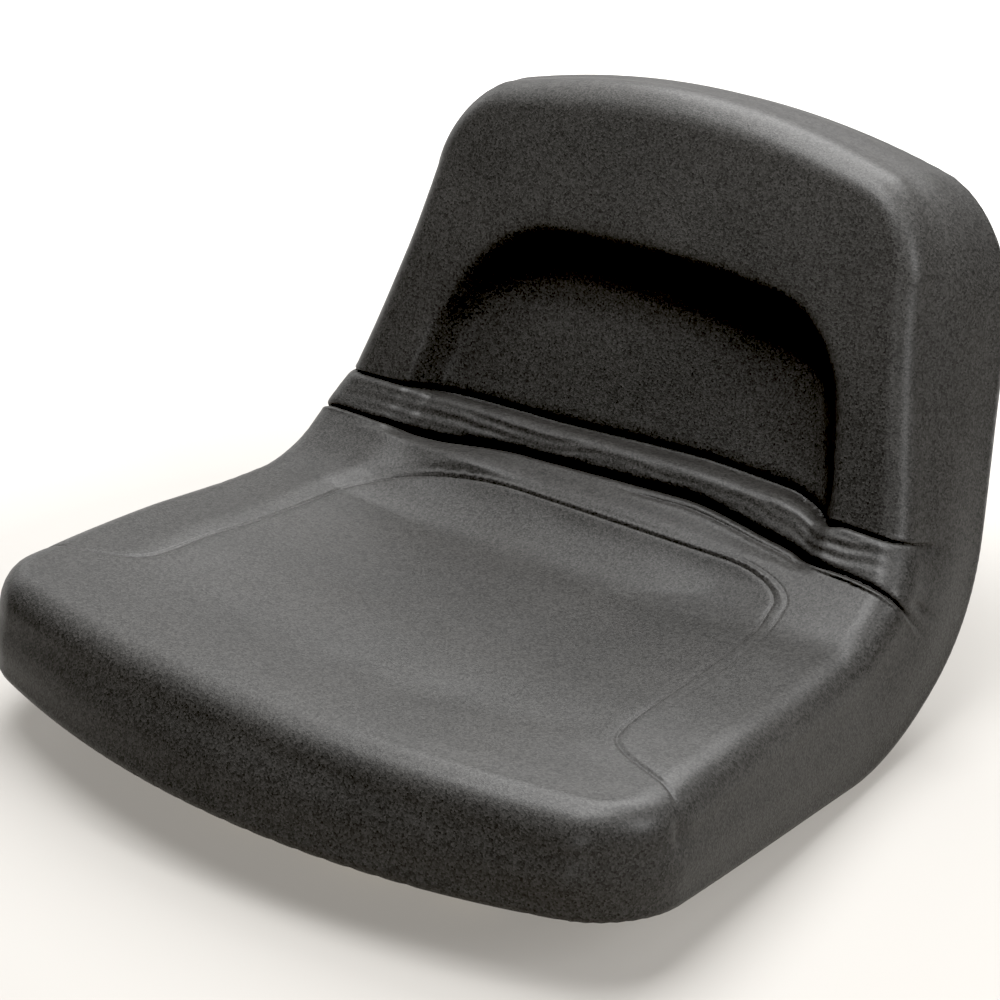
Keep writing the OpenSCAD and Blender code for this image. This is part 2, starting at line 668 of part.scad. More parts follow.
function pan_side(d) =
    let(r0 = max(4, front_corner - d))
    let(r1 = top_corner - d)
    side_pts([for (b = P_ROWS) half - d], [for (b = P_ROWS)
        max(d + r0 + 1, min(plan_length - d - r1 - 1, b))], d, plan_length - d, r0, r1, 3);
function pan_end(d, top) =
    let(r = top ? top_corner - d : max(4, front_corner - d))
    let(cols = [for (c = P_COLS) c == 1 ? 1 : c / (half - d - r)])
    top ? end_pts(half - d, plan_length - d, plan_length - d - r, r, cols, 3, 1)
    : end_pts(half - d, d, d + r, r, cols, 3, -1);
function pan_loop(d) = loop(pan_side(d), pan_end(d, false), pan_end(d, true));
pan_core = mount_half_width + mount_slope;
pan_fill = fill(pan_side(FLOOR_D), pan_end(FLOOR_D, false), pan_end(FLOOR_D, true), pan_core, 60);
PAN_N = len(pan_side(FLOOR_D)) - 1;
PAN_M = len(pan_end(FLOOR_D, false)) - 1;
PAN_ST = 2 * (PAN_N + PAN_M);
// Row within the mounting face
PAN_TURN = 7;

// Height of the pan's lower face
function bead_at(a, b) =
    let(x = min(abs(a), abs(abs(a) - bead_pitch)))
    (1 - slope(x, bead_half * 0.45, bead_half))
    * slope(b, bead_start, bead_start + 12) * (1 - slope(b, bead_end - 12, bead_end));
function mount_share(a, b) = min(
    1 - slope(abs(a), mount_half_width, mount_half_width + mount_slope),
    slope(b, mount_front - mount_slope, mount_front),
    1 - slope(b, mount_rear, mount_rear + mount_rear_slope)
);
function floor_h(a, b) =
    let(m = mount_share(a, b))
    let(f = pan_low + ledge_step - bead_depth * bead_at(a, b))
    f + (mount_h(a, b) - f) * m;

// Upper or lower face of the pan, up h above its lower face
function pan_points(h) = concat(
    [for (i = [0 : PAN_N]) for (j = [0 : PAN_M])
        let(q = pan_fill[i][j])
        let(p = place(q[0], q[1], floor_h(q[0], q[1]) + h))
        mount_share(q[0], q[1]) == 1 ? [p[0], p[1], h] : p
    ],
    [for (q = pan_loop(LEDGE_D)) place(q[0], q[1], pan_low + h)],
    [for (q = pan_loop(pan_inset)) place(q[0], q[1], pan_low + h)]
);
PAN_SHEET = (PAN_N + 1) * (PAN_M + 1) + 2 * PAN_ST;

// Places of the four bolts
module at_bolts() {
    for (x = [-1, 1]) for (y = [-1, 1])
        translate([x * bolt_span_x / 2, y * bolt_span_y / 2, 0])
            children();
}

module seat_pan() {
    last = PAN_SHEET - PAN_ST;
    edge = [for (s = [0 : PAN_ST - 1])
        let(e = (s + 1) % PAN_ST)
        let(p = last + s)
        let(q = last + e)
        each [[p, PAN_SHEET + p, q], [PAN_SHEET + p, PAN_SHEET + q, q]]
    ];
    color([0.16, 0.16, 0.17])
    difference() {
        polyhedron(
            points = concat(pan_points(0), pan_points(pan_t)),
            faces = concat(
                flip(sheet_faces(PAN_N, PAN_M, 2, 0, PAN_TURN)),
                sheet_faces(PAN_N, PAN_M, 2, PAN_SHEET, PAN_TURN),
                edge
            ),
            convexity = 12
        );
        at_bolts() translate([0, 0, -1]) cylinder(r = bolt_hole_r, h = pan_t + 2, $fn = 48);
        translate([0, 0, -1]) cylinder(r = switch_hole_r, h = pan_t + 2, $fn = 64);
        for (x = [-1, 1])
            translate([x * drain_span / 2, bolt_span_y / 2 + 12, -1])
                cylinder(r = drain_r, h = pan_t + 2, $fn = 48);
    }
}

module mounting_nuts() {
    color([0.62, 0.62, 0.60])
    at_bolts() translate([0, 0, pan_t]) difference() {
        cylinder(r = nut_flats / sqrt(3), h = nut_height, $fn = 6);
        translate([0, 0, -1]) cylinder(r = nut_bore_r, h = nut_height + 2, $fn = 48);
    }
}

// Foam: the cover's inside less the clearance, closed below by the pan's upper face
FOAM_T = cover_in;
FOAM_H = pan_top + layer_gap;
FOAM_K = len(ROLL_U) + len(WALL_U) + 1;
FOAM_SHEET = (GRID_N + 1) * (GRID_M + 1) + FOAM_K * STATIONS;

// Joins two closed loops with different numbers of points, side by side.
// va and vb are the places of the points along one side; ia and ib number them.
function between(va, vb, ia, ib) =
    [
        for (s = [0 : len(va) - 2])
            let(k = nearest(vb, va[s], va))
            let(e = nearest(vb, va[s + 1], va))
            each concat(
                [[ia[s], ia[s + 1], ib[k]]],
                [for (t = [k : 1 : e - 1]) [ib[t], ia[s + 1], ib[t + 1]]]
            )
    ];
function share(v, x) = (x - v[0]) / (v[len(v) - 1] - v[0]);
function nearest(v, x, from) =
    let(f = share(from, x))
    f >= 0.9999 ? len(v) - 1 : len([for (y = v) if (share(v, y) <= f + 0.0001) 1]) - 1;

module foam_cushion() {
    upper = concat(
        top_points(FOAM_T),
        [for (u = ROLL_U) each wall_ring(0, u, FOAM_T)],
        [for (u = WALL_U) each wall_ring(1, u, FOAM_T)],
        wall_ring(3, FOAM_H, FOAM_T)
    );
    lower = pan_points(pan_t + layer_gap);
    last = FOAM_SHEET - STATIONS;
    low_last = FOAM_SHEET + PAN_SHEET - PAN_ST;
    p_side = pan_side(pan_inset);
    p_front = pan_end(pan_inset, false);
    p_top = pan_end(pan_inset, true);
    front_v = [for (q = rim_front) q[0]];
    side_v = [for (q = rim_side) q[1]];
    top_v = [for (q = rim_top) q[0]];
    pf_v = [for (q = p_front) q[0]];
    ps_v = [for (q = p_side) q[1]];
    pt_v = [for (q = p_top) q[0]];
    rev_m = [for (j = [GRID_M : -1 : 0]) -top_v[j]];
    rev_pm = [for (j = [PAN_M : -1 : 0]) -pt_v[j]];
    rev_n = [for (i = [GRID_N : -1 : 0]) -side_v[i]];
    rev_pn = [for (i = [PAN_N : -1 : 0]) -ps_v[i]];
    join = concat(
        between(front_v, pf_v,
            [for (j = [0 : GRID_M]) last + j],
            [for (j = [0 : PAN_M]) low_last + j]),
        between(side_v, ps_v,
            [for (i = [0 : GRID_N]) last + GRID_M + i],
            [for (i = [0 : PAN_N]) low_last + PAN_M + i]),
        between(rev_m, rev_pm,
            [for (j = [0 : GRID_M]) last + GRID_M + GRID_N + j],
            [for (j = [0 : PAN_M]) low_last + PAN_M + PAN_N + j]),
        between(rev_n, rev_pn,
            [for (i = [0 : GRID_N]) last + (2 * GRID_M + GRID_N + i) % STATIONS],
            [for (i = [0 : PAN_N]) low_last + (2 * PAN_M + PAN_N + i) % PAN_ST])
    );
    color([0.78, 0.72, 0.52])
    difference() {
        polyhedron(
            points = concat(upper, lower),
            faces = concat(
                sheet_faces(GRID_N, GRID_M, FOAM_K, 0, TURN),
                flip(sheet_faces(PAN_N, PAN_M, 2, FOAM_SHEET, PAN_TURN)),
                join
            ),
            convexity = 12
        );
        at_bolts() translate([0, 0, -1])
            cylinder(r = nut_flats / sqrt(3) + nut_room, h = pan_t + nut_height + nut_room + 1, $fn = 32);
    }
}

vinyl_cover();
foam_cushion();
seat_pan();
mounting_nuts();
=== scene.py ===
"""Bucket seat for a garden machine: the looks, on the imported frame.

The form is worked out in millimetres with the rules of the CAD source and turned into metres at the end.
Every layer is drawn on one flat plan. a runs across the seat and b runs from its front edge, through the
waist, to its top edge. The plan is bent along a line, an arc and a line, and a height stands square to it.
"""
import json
import math

import bpy
import numpy as np
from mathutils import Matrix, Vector

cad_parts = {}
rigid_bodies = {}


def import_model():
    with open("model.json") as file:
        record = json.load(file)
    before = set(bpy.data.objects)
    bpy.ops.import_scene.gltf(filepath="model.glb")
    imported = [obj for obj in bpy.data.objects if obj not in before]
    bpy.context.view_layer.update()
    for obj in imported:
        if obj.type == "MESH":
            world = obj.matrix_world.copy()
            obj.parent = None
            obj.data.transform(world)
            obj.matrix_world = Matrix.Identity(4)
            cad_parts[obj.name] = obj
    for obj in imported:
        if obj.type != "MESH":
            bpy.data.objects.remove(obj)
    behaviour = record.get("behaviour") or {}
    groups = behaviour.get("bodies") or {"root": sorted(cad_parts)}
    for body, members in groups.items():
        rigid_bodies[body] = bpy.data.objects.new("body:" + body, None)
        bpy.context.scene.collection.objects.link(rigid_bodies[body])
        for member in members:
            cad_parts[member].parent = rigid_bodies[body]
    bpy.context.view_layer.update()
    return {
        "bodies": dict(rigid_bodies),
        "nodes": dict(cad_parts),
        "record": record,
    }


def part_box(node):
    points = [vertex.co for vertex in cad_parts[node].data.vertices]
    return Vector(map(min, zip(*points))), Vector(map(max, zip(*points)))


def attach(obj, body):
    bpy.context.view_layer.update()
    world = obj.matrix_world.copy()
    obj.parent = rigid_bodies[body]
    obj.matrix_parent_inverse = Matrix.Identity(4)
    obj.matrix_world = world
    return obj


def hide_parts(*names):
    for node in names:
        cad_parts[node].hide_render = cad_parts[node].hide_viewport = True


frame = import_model()
BODY = sorted(frame["bodies"])[0]
MM = 0.001

# Overall form
SEAT_WIDTH = 482.0
SEAT_RUN = 280.0
BACK_RUN = 224.0
WAIST_RADIUS = 150.0
SEAT_SLOPE = math.radians(7.6)
BACK_ANGLE = math.radians(71.0)
WAIST_SHARE = 0.957
TOP_SHARE = 0.855
FRONT_BOW = 48.0
WAIST_BOW = -1.0
TOP_BOW = 36.0
SIDE_LIFT = 8.0
RISE_POWER = 2.2
MOUNT_DROP = 4.0

# Heights of the cushion
FRONT_HEIGHT = 63.5
MIDDLE_HEIGHT = 73.0
WAIST_HEIGHT = 84.0
BACK_HEIGHT = 77.5

HALF = SEAT_WIDTH / 2
BEND_LEN = WAIST_RADIUS * (SEAT_SLOPE + BACK_ANGLE)
PLAN_LENGTH = SEAT_RUN + BEND_LEN + BACK_RUN
WAIST_B = SEAT_RUN + 0.55 * BEND_LEN
CENTRE_Y = SEAT_RUN * 0.62
BEND_FLOOR = -SEAT_RUN * math.sin(SEAT_SLOPE) - WAIST_RADIUS * (1 - math.cos(SEAT_SLOPE))
LIFT_Z = MOUNT_DROP - BEND_FLOOR

# Edges and corners
FRONT_CORNER = 40.0
TOP_CORNER = 70.0
EDGE_ROLL = 23.0
TUCK_ROLL = 6.0
FRONT_LEAN = 14.0
SIDE_LEAN = 3.0
WAIST_LEAN = 7.0
BACK_LEAN = 33.0
TOP_LEAN = 2.0
FRONT_CREST_CORNER = 15.0
CREST_EASE = 14.0
TOP_CREST_CORNER = 32.0
WALL_SWELL = 2.0

# Waist folds
LOW_FOLD = WAIST_B + 25.0
LOW_FOLD_RISE = 28.0
LOW_FOLD_SKEW = 5.0
HIGH_FOLD = LOW_FOLD + 63.0
HIGH_FOLD_RISE = 5.0
HIGH_FOLD_SKEW = 3.0
LOW_DEPTH = 7.2
HIGH_DEPTH = 9.2
SIDE_FOLD_DEPTH = 3.2
ROLL_CROWN = 2.0
WAIST_SET_BACK = 10.0
SIDE_ROLL_FOOT = 163.0
SIDE_ROLL_SLOPE = 10.0

# Sitting surface
PANEL_DIP = 6.0
PANEL_REACH = 110.0
PANEL_HALF_FRONT = 166.0
PANEL_HALF_REAR = 158.0
PANEL_REAR = LOW_FOLD - 35.5
PANEL_CORNER_LEFT = 116.0
PANEL_CORNER_RIGHT = 48.0
FLARE_LEFT = 95.0
FLARE_RIGHT = 92.0
FLARE_RUN = 1.4
FLARE_ROUND = 14.0
GROOVE_LINE = 1.25
GROOVE_DEPTH = 0.95
PILLOW = 3.6

# Lumbar recess
RECESS_HALF_FOOT = 170.0
RECESS_HALF_TOP = 161.0
RECESS_TOP = HIGH_FOLD + 125.5
RECESS_CORNER_LEFT = 78.0
RECESS_CORNER_RIGHT = 61.0
RECESS_DEPTH = 27.0
RECESS_FOOT_DEPTH = 9.0
RECESS_SLOPE = 34.0
RECESS_FALL = 58.0

# Cover
COVER_T = 2.0
HEM_WIDTH = 24.0
LAYER_GAP = 0.3

# Pan
PAN_T = 1.6
PAN_INSET = 7.0
LEDGE_WIDTH = 20.0
LEDGE_STEP = 3.0
STEP_RUN = 6.0
MOUNT_HALF_WIDTH = 132.0
MOUNT_FRONT = 72.0
MOUNT_REAR = SEAT_RUN + 42.0
MOUNT_SLOPE = 30.0
MOUNT_REAR_SLOPE = 16.0
BEAD_DEPTH = 4.0
BEAD_HALF = 9.0
BEAD_PITCH = 88.0
BEAD_START = WAIST_B + 77.0
BEAD_END = PLAN_LENGTH - 88.0
PAN_LOW = COVER_T + LAYER_GAP

# The photograph's camera
CAMERA_TARGET = Vector((0.0719, -0.0184, 0.1987))
CAMERA_AZIMUTH = 36.93
CAMERA_ELEVATION = 26.88
CAMERA_DISTANCE = 1.55
CAMERA_LENS = 102.74
CAMERA_SENSOR = 36.0

# Light: name, place, aim, size in metres and power in watts
LIGHTS = (
    ("top_light", (-0.10, -0.12, 1.70), (0, 0.10, 0.15), (1.2, 1.0), 41),
    ("rear_top_light", (-0.20, 1.10, 1.60), (0, 0.10, 0.15), (1.6, 1.2), 46),
    ("back_light", (-1.38, 1.94, 0.90), (0, 0.10, 0.15), (2.6, 1.5), 5.4),
    ("left_light", (-1.90, 0.65, 0.90), (0, 0.10, 0.15), (1.2, 1.2), 8),
    ("right_light", (1.30, 0.00, 1.65), (0.15, 0.15, 0.15), (1.2, 0.5), 3.5),
    ("edge_light", (1.31, -0.06, 0.83), (0.17, 0.25, 0.28), (0.2, 0.5), 8.5),
    ("low_light", (0.80, -1.75, 0.50), (0.10, 0.10, 0.20), (0.5, 0.3), 4.5),
    ("front_light", (-1.10, -1.80, 0.45), (0, 0.15, 0.25), (2.0, 0.8), 0.9),
)
WORLD_STRENGTH = 0.002
BLACK_LEVEL = 0.041
VINYL_DARK = (0.038, 0.037, 0.0355, 1)
VINYL_LIGHT = (0.046, 0.0445, 0.0425, 1)
VINYL_SPECULAR = 0.3
VINYL_COAT = 0.36
VINYL_COAT_ROUGH = 0.36
SPECKLE = 0.5
VINYL_ROUGH_LOW = 0.60
VINYL_ROUGH_HIGH = 0.68
FLOOR_GLOW = (1.0, 0.95, 0.88, 1)
FLOOR_GLOW_STRENGTH = 0.30
# Painted light on the floor: its colour turns from dark near the seat to pale far off. This makes up for the
# lamps' falloff so the floor reads evenly white, and the darker near part sends less bounce onto the seat.
FLOOR_NEAR = 0.4
FLOOR_FAR = 1.6
FLOOR_PAINTED_LIGHT_NEAR = (0.30, 0.292, 0.28, 1)
FLOOR_PAINTED_LIGHT_FAR = (0.95, 0.94, 0.92, 1)


def ramp(x, x0, x1):
    """Smooth step from 0 at x0 to 1 at x1."""
    t = np.clip((x - x0) / (x1 - x0), 0, 1)
    return t * t * (3 - 2 * t)


def slope(x, x0, x1):
    """Straight step from 0 at x0 to 1 at x1."""
    return np.clip((x - x0) / (x1 - x0), 0, 1)


def bump(x, at, width):
    """Smooth hump of height 1."""
    return np.exp(-(((x - at) / width) ** 2))


def lattice(ix, iy, seed):
    """A repeatable value from -1 to 1 for each lattice point."""
    n = np.sin(ix * 127.1 + iy * 311.7 + seed * 74.7) * 43758.5453
    return 2 * (n - np.floor(n)) - 1


def soft_noise(x, y, seed):
    """Smooth noise from -1 to 1 with a unit lattice."""
    ix, iy = np.floor(x), np.floor(y)
    fx, fy = x - ix, y - iy
    fx, fy = fx * fx * (3 - 2 * fx), fy * fy * (3 - 2 * fy)
    near = lattice(ix, iy, seed) * (1 - fx) + lattice(ix + 1, iy, seed) * fx
    far = lattice(ix, iy + 1, seed) * (1 - fx) + lattice(ix + 1, iy + 1, seed) * fx
    return near * (1 - fy) + far * fy


# Values that change along the plan
def width_share(b):
    return (1 + (WAIST_SHARE - 1) * ramp(b, 0, WAIST_B)
            + (TOP_SHARE - WAIST_SHARE) * ramp(b, WAIST_B, PLAN_LENGTH))


def bow(b):
    return (FRONT_BOW + (WAIST_BOW - FRONT_BOW) * ramp(b, 0, WAIST_B)
            + (-TOP_BOW - WAIST_BOW) * ramp(b, WAIST_B, PLAN_LENGTH))


def lift(b):
    return SIDE_LIFT * (1 - ramp(b, 0, WAIST_B) / 2 - ramp(b, WAIST_B, PLAN_LENGTH) / 2)


def crest(b):
    return (FRONT_HEIGHT + (MIDDLE_HEIGHT - FRONT_HEIGHT) * ramp(b, 0, 0.6 * SEAT_RUN)
            + (WAIST_HEIGHT - MIDDLE_HEIGHT) * ramp(b, 0.6 * SEAT_RUN, WAIST_B)
            + (BACK_HEIGHT - WAIST_HEIGHT) * ramp(b, WAIST_B, 0.78 * PLAN_LENGTH))


def side_wall_lean(b):
    return (SIDE_LEAN + (WAIST_LEAN - SIDE_LEAN) * ramp(b, 0, WAIST_B)
            + (BACK_LEAN - WAIST_LEAN) * ramp(b, WAIST_B, PLAN_LENGTH))


def bent(b):
    """The bent plan's y, z and angle at b."""
    s = np.minimum(b, SEAT_RUN)
    g = np.clip(b - SEAT_RUN, 0, BEND_LEN) / WAIST_RADIUS - SEAT_SLOPE
    c = np.maximum(b - SEAT_RUN - BEND_LEN, 0)
    y = (s * math.cos(SEAT_SLOPE) + WAIST_RADIUS * (np.sin(g) + math.sin(SEAT_SLOPE))
         + c * math.cos(BACK_ANGLE))
    z = (-s * math.sin(SEAT_SLOPE) + WAIST_RADIUS * (math.cos(SEAT_SLOPE) - np.cos(g))
         + c * math.sin(BACK_ANGLE))
    return y, z, g


def place(a, b, h):
    """Points of the plan at height h, in millimetres in the frame."""
    t = a / HALF
    y, z, g = bent(b + bow(b) * t * t)
    hh = h + lift(b) * np.abs(t) ** RISE_POWER
    return np.stack([
        a * width_share(b),
        y - np.sin(g) * hh - CENTRE_Y,
        z + np.cos(g) * hh + LIFT_Z,
    ], axis=-1)


def hinge(x, c):
    """Straight rise with a foot rounded by c."""
    return (x + np.sqrt(x * x + c * c)) / 2


# Waist folds
def skew(a):
    return (2 * slope(a, -60, 60) - 1) * (1 - ramp(np.abs(a), 125, SIDE_ROLL_FOOT))


def low_fold_b(a):
    rise = LOW_FOLD_RISE * (1 - ramp(np.abs(a), 60, SIDE_ROLL_FOOT + 23))
    return LOW_FOLD + rise + LOW_FOLD_SKEW * skew(a) + 4 * bump(a, 146, 14) - 0.35 * hinge(a - 196, 10)


def high_fold_b(a):
    rise = HIGH_FOLD_RISE * (1 - ramp(np.abs(a), 125, SIDE_ROLL_FOOT))
    return HIGH_FOLD + rise + HIGH_FOLD_SKEW * skew(a) - 8 * bump(a, 164, 11)


def between_rolls(a):
    """1 between the side rolls and 0 on them."""
    return 1 - ramp(np.abs(a), SIDE_ROLL_FOOT - SIDE_ROLL_SLOPE, SIDE_ROLL_FOOT + SIDE_ROLL_SLOPE)


def crease(x, depth, lower, upper):
    """Section of a crease with a narrow foot. lower and upper are its reaches to either side."""
    reach = np.where(x < 0, lower, upper)
    far = np.sqrt(x * x + 0.36) - 0.6
    return depth * np.exp(-far / reach) * (1 - ramp(np.abs(x), 3 * reach, 5 * reach))


def panel_dist(a, b, w, top, r):
    """Distance inside a panel with straight sides and rounded upper corners."""
    x = np.abs(a) - (w - r)
    y = b - (top - r)
    corner = (x > 0) & (y > 0)
    return r - np.where(corner, np.hypot(x, y), np.maximum(x, y))


def flare(a):
    """Place where the panel line turns out to the side."""
    return np.where(a < 0, FLARE_LEFT, FLARE_RIGHT)


def panel_half(a, b):
    taper = 1 - slope(b, SEAT_RUN * 0.54, SEAT_RUN * 1.18)
    return (PANEL_HALF_REAR + (PANEL_HALF_FRONT - PANEL_HALF_REAR) * taper
            + FLARE_RUN * hinge(flare(a) - b, FLARE_ROUND))


def seat_panel(a, b):
    x = flare(a) - b
    slant = FLARE_RUN * (1 + x / np.hypot(x, FLARE_ROUND)) / 2
    corner = np.where(a < 0, PANEL_CORNER_LEFT, PANEL_CORNER_RIGHT)
    return panel_dist(a, b, panel_half(a, b), PANEL_REAR, corner) / np.hypot(1, slant)


def outer_line(a, b):
    """Distance inside the second line, which runs beside the groove on the right."""
    return panel_dist(a, b, panel_half(a, b) + 8.5, PANEL_REAR + 10, 54.0)


def recess_corner(a):
    return np.where(a < 0, RECESS_CORNER_LEFT, RECESS_CORNER_RIGHT)


def recess_panel(a, b):
    half = RECESS_HALF_FOOT + (RECESS_HALF_TOP - RECESS_HALF_FOOT) * slope(b, HIGH_FOLD, RECESS_TOP - 52)
    return panel_dist(a, b, half, RECESS_TOP, recess_corner(a))


def recess_dip(a, b):
    """The recess: a crisp upper lip, a hollow ceiling and a floor that comes forward towards its foot."""
    r = recess_panel(a, b)
    upper = slope(b, RECESS_TOP - 96, RECESS_TOP - 26)
    t = r / (RECESS_SLOPE + (RECESS_FALL - RECESS_SLOPE) * upper)
    t = np.minimum(hinge(t, 0.09), 1)
    wall = 1 - (1 - t) ** 3
    fall = ramp(b, HIGH_FOLD - 20, RECESS_TOP - 30)
    depth = RECESS_FOOT_DEPTH + (RECESS_DEPTH - RECESS_FOOT_DEPTH) * fall
    return wall * depth * ramp(b - high_fold_b(a), -3, 3) * ramp(r, -12, 0)


def groove_dip(a, b):
    """The fine line round the panel, its soft bed and the second line at the right rear corner."""
    s = seat_panel(a, b)
    line = bump(s, 0, GROOVE_LINE) + 0.35 * bump(s, 0, 3.2 * GROOVE_LINE)
    second = 0.4 * bump(outer_line(a, b), 0, GROOVE_LINE) * ramp(a, 110, 142) * ramp(b, 125, 215)
    ridge = bump(s, -5.5, 2.4) * ramp(b, 330, 372)
    shallow = 1 - 0.35 * ramp(b, 290, 350)
    return (GROOVE_DEPTH * (line + second) * shallow - 0.7 * ridge) * ramp(b, 40, 54)


def pillow(a, b):
    """The full places of the cushion between the groove and the lower fold."""
    behind = ramp(-seat_panel(a, b), 0.5, 24) * ramp(low_fold_b(a) - b, 2, 26)
    return PILLOW * behind * (0.9 * bump(a, -164, 22) + bump(a, -98, 38) + 0.35 * bump(a, 30, 60))


def bead_dip(a, b):
    """The roll between the folds with its fine wrinkles, and the waist set back between the side rolls."""
    x = np.abs(a)
    lf, hf = low_fold_b(a), high_fold_b(a)
    inside = np.clip((b - lf) / (hf - lf), 0, 1)
    inner = between_rolls(a)
    crown = ROLL_CROWN * (1 - (2 * inside - 1) ** 4) * (0.3 + 0.7 * inner)
    set_back = WAIST_SET_BACK * inner * ramp(b, LOW_FOLD - 25, lf + 6) * (1 - ramp(b, hf, hf + 70))
    drift = 2.2 * soft_noise(a / 55, b * 0 + 3, 5) + 0.8 * soft_noise(a / 21, b * 0, 6)
    lines = np.sin(2 * math.pi * (inside * 3.6 + drift * 0.32))
    where = np.clip(0.25 + 0.9 * bump(a, -112, 55) + 0.8 * bump(a, 176, 22), 0, 1)
    patch = where * (0.65 + 0.35 * soft_noise(a / 33, b / 17, 7)) * (1 - 0.5 * ramp(x, 205, 225))
    wrinkles = 0.5 * lines * np.sin(math.pi * inside) ** 0.7 * patch
    return set_back - crown + wrinkles


def thin_line(a):
    """Place of the fine line in front of the lower fold, which wanders a little."""
    return -12.5 + soft_noise(a / 40, 0 * a, 9)


def fold_dip(a, b):
    """The two deep folds, the ridge and the fine lines in front of the lower one."""
    low, high = b - low_fold_b(a), b - high_fold_b(a)
    inner = between_rolls(a)
    pocket = bump(a, 170, 7) + 0.5 * bump(a, -172, 9)
    low_depth = SIDE_FOLD_DEPTH + (LOW_DEPTH - SIDE_FOLD_DEPTH) * inner + 3.5 * pocket
    high_depth = SIDE_FOLD_DEPTH + (HIGH_DEPTH - SIDE_FOLD_DEPTH) * inner + 3 * pocket
    dip = crease(low, low_depth, 2.3 + 0.5 * inner, 2.3 + 0.6 * inner)
    dip += crease(high, high_depth, 2.3 + 0.8 * inner, 2.3 + 0.5 * inner)
    right = ramp(a, 5, 45)
    thin = right * (1 - ramp(a, 150, 172))
    dip -= 1.1 * bump(low, -6.0, 2.8) * (0.5 + 0.5 * right)
    dip += 0.9 * bump(low, thin_line(a), 1.5) * thin
    dip -= 0.5 * bump(low, -17.5, 2.6) * thin
    dip += 0.8 * bump(low, -11, 1.4) * bump(a, 196, 16)
    return dip


def dip(a, b):
    """Depth of everything that is pressed into the sitting surface."""
    s = slope(seat_panel(a, b), 0, PANEL_REACH)
    dish = PANEL_DIP * s * (2 - s) * ramp(b, 40, 110)
    waves = 0.45 * soft_noise(a / 70, b / 60, 1) + 0.2 * soft_noise(a / 31, b / 27, 2)
    return (dish + groove_dip(a, b) + bead_dip(a, b) + fold_dip(a, b) + recess_dip(a, b)
            - pillow(a, b) + waves)


# Outlines of the crest line and the rim, as dense matched lists of plan points
ARC_N = 48
ROW_N = 480
COL_N = 144
CREST_0 = FRONT_LEAN + EDGE_ROLL - CREST_EASE
CREST_1 = PLAN_LENGTH - TOP_LEAN - EDGE_ROLL


def arc(cx, cy, r, start, end, n):
    g = np.radians(np.linspace(start, end, n + 1))
    return np.stack([cx + r * np.cos(g), cy + r * np.sin(g)], -1)


def side_line(w, rows, b0, b1, r0, r1):
    """Right side of an outline, from the middle of its front corner to the middle of its top corner."""
    return np.concatenate([
        arc(w[0] - r0, b0 + r0, r0, -45, 0, ARC_N)[:-1],
        np.stack([w, rows], -1),
        arc(w[-1] - r1, b1 - r1, r1, 0, 45, ARC_N)[1:],
    ])


def end_line(w, b, bc, r, sign, ease=0.0):
    """Front or top edge of an outline, from its left corner to its right one."""
    c = np.linspace(-1, 1, 2 * COL_N + 1)
    middle = np.stack([c * (w - r), b + ease * (1 - c * c)], -1)
    right = arc(w - r, bc, r, sign * 90, sign * 45, ARC_N)[1:]
    left = right[::-1] * (-1, 1)
    return np.concatenate([left, middle, right])


def closed(side, front, top):
    """Front, right side, top and left side as one closed loop."""
    return np.concatenate([front[:-1], side[:-1], top[:0:-1], (side * (-1, 1))[:0:-1]])


CREST_ROWS = np.linspace(CREST_0 + FRONT_CREST_CORNER, CREST_1 - TOP_CREST_CORNER, ROW_N + 1)
CREST_W = HALF - side_wall_lean(CREST_ROWS) - EDGE_ROLL
CREST_SIDE = side_line(CREST_W, CREST_ROWS, CREST_0, CREST_1, FRONT_CREST_CORNER, TOP_CREST_CORNER)
CREST_FRONT = end_line(CREST_W[0], CREST_0, CREST_0 + FRONT_CREST_CORNER, FRONT_CREST_CORNER, -1, CREST_EASE)
CREST_TOP = end_line(CREST_W[-1], CREST_1, CREST_1 - TOP_CREST_CORNER, TOP_CREST_CORNER, 1)
CREST_LOOP = closed(CREST_SIDE, CREST_FRONT, CREST_TOP)

RIM_ROWS = np.linspace(FRONT_CORNER, PLAN_LENGTH - TOP_CORNER, ROW_N + 1)
RIM_SIDE = side_line(np.full(ROW_N + 1, HALF), RIM_ROWS, 0, PLAN_LENGTH, FRONT_CORNER, TOP_CORNER)
RIM_FRONT = end_line(HALF, 0, FRONT_CORNER, FRONT_CORNER, -1)
RIM_TOP = end_line(HALF, PLAN_LENGTH, PLAN_LENGTH - TOP_CORNER, TOP_CORNER, 1)
RIM_LOOP = closed(RIM_SIDE, RIM_FRONT, RIM_TOP)
LOOP_N = len(CREST_LOOP)


def on_loop(loop, s):
    """Plan point at station s of a closed loop."""
    i = np.floor(s).astype(int)
    f = (s - i)[:, None]
    return loop[i % LOOP_N] * (1 - f) + loop[(i + 1) % LOOP_N] * f


def wall_frame(s):
    """Rim point, inward direction, distance to the crest line and crest height at stations s."""
    p, q = on_loop(RIM_LOOP, s), on_loop(CREST_LOOP, s)
    d = np.linalg.norm(q - p, axis=1)
    return p, (q - p) / d[:, None], d, crest(q[:, 1]), q


